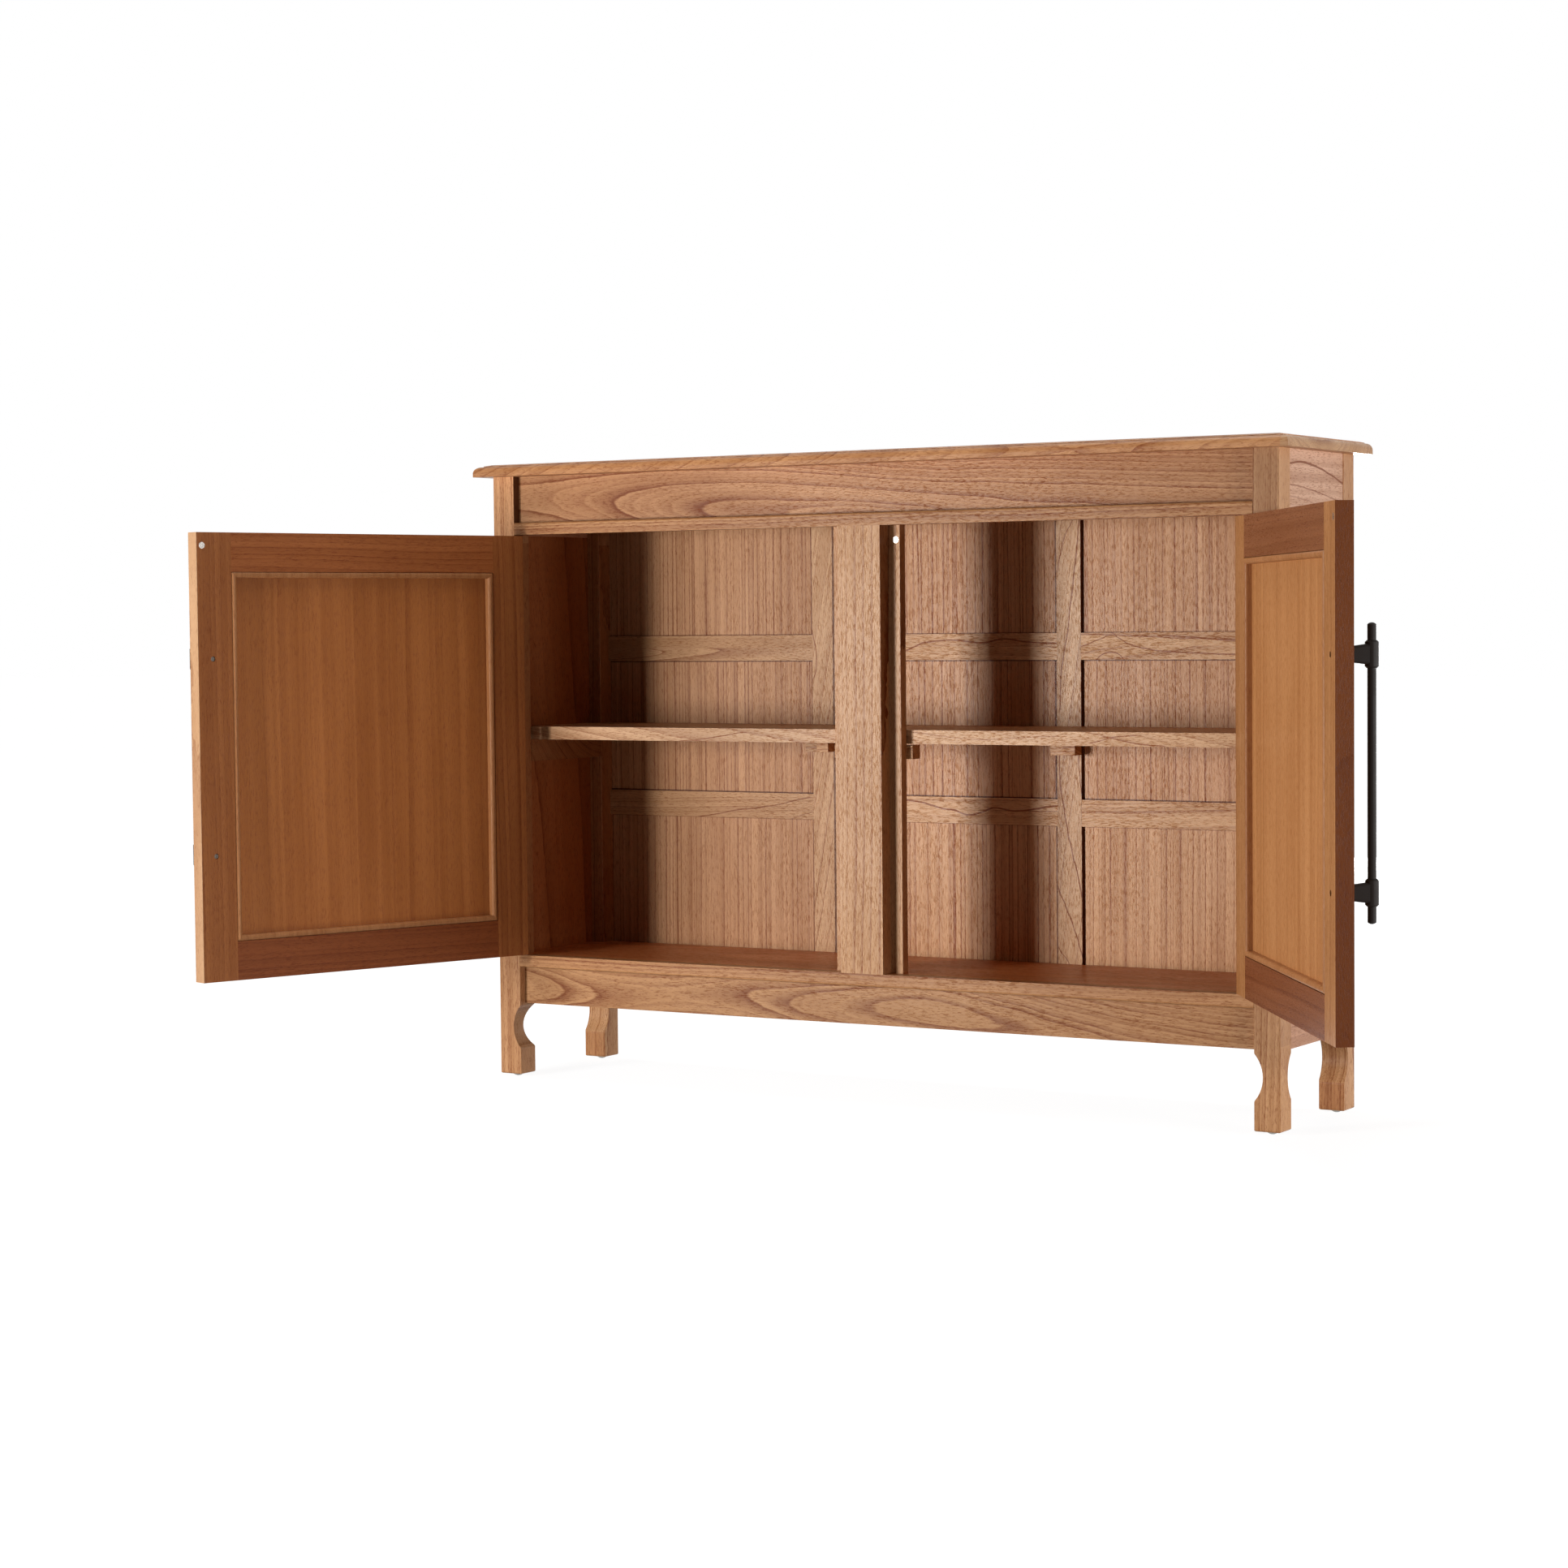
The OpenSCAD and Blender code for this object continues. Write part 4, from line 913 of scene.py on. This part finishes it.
LAMPS = [
    ("key", (-1.22, -2.5, 0.44), (0, 0, 0.44), 0.62, 0.82, 71),
    ("right", (4.6, 1.6, 0.44), (0, 0, 0.44), 1.6, 0.82, 76),
    ("side", (4.6, -1.45, 0.44), (0, 0, 0.44), 1.2, 0.82, 86),
    ("above", (-0.2, 0.1, 3.2), (-0.2, 0.1, 0), 1.2, 0.9, 38),
    ("behind", (-1.0, 4.4, 0.44), (0, 0, 0.44), 2.0, 0.82, 140)]


def softbox(name, place, target, width, height, watts):
    light = bpy.data.lights.new(name, "AREA")
    light.shape = "RECTANGLE"
    light.size = width
    light.size_y = height
    light.energy = watts
    lamp = bpy.data.objects.new(name, light)
    lamp.location = place
    lamp.rotation_euler = (Vector(target) - Vector(place)).to_track_quat("-Z", "Y").to_euler()
    bpy.context.scene.collection.objects.link(lamp)


# Camera, solved from corners of the case, the top, the legs and both doors: degrees, metres and millimetres

CAMERA_YAW = math.radians(31.529)
CAMERA_PITCH = math.radians(-2.777)
CAMERA_ROLL = math.radians(-0.547)
CAMERA_PLACE = (2.16375, -3.83927, 0.63168)
CAMERA_LENS = 75.435
CAMERA_SENSOR = 36.0
CAMERA_CLIP = 100.0


def make_camera():
    yaw, pitch, roll = CAMERA_YAW, CAMERA_PITCH, CAMERA_ROLL
    forward = Vector((-math.sin(yaw) * math.cos(pitch), math.cos(yaw) * math.cos(pitch), math.sin(pitch)))
    level = Vector((math.cos(yaw), math.sin(yaw), 0))
    straight = level.cross(forward)
    right = math.cos(roll) * level + math.sin(roll) * straight
    up = math.cos(roll) * straight - math.sin(roll) * level
    data = bpy.data.cameras.new("camera")
    data.sensor_width = CAMERA_SENSOR
    data.sensor_height = CAMERA_SENSOR
    data.sensor_fit = "HORIZONTAL"
    data.lens = CAMERA_LENS
    data.clip_end = CAMERA_CLIP
    camera = bpy.data.objects.new("camera", data)
    turn = Matrix((right, up, -forward)).transposed().to_4x4()
    camera.matrix_world = Matrix.Translation(CAMERA_PLACE) @ turn
    bpy.context.scene.collection.objects.link(camera)
    bpy.context.scene.camera = camera


make_floor()
make_world()
for lamp in LAMPS:
    softbox(*lamp)
make_camera()
bpy.context.scene.view_settings.view_transform = "Standard"
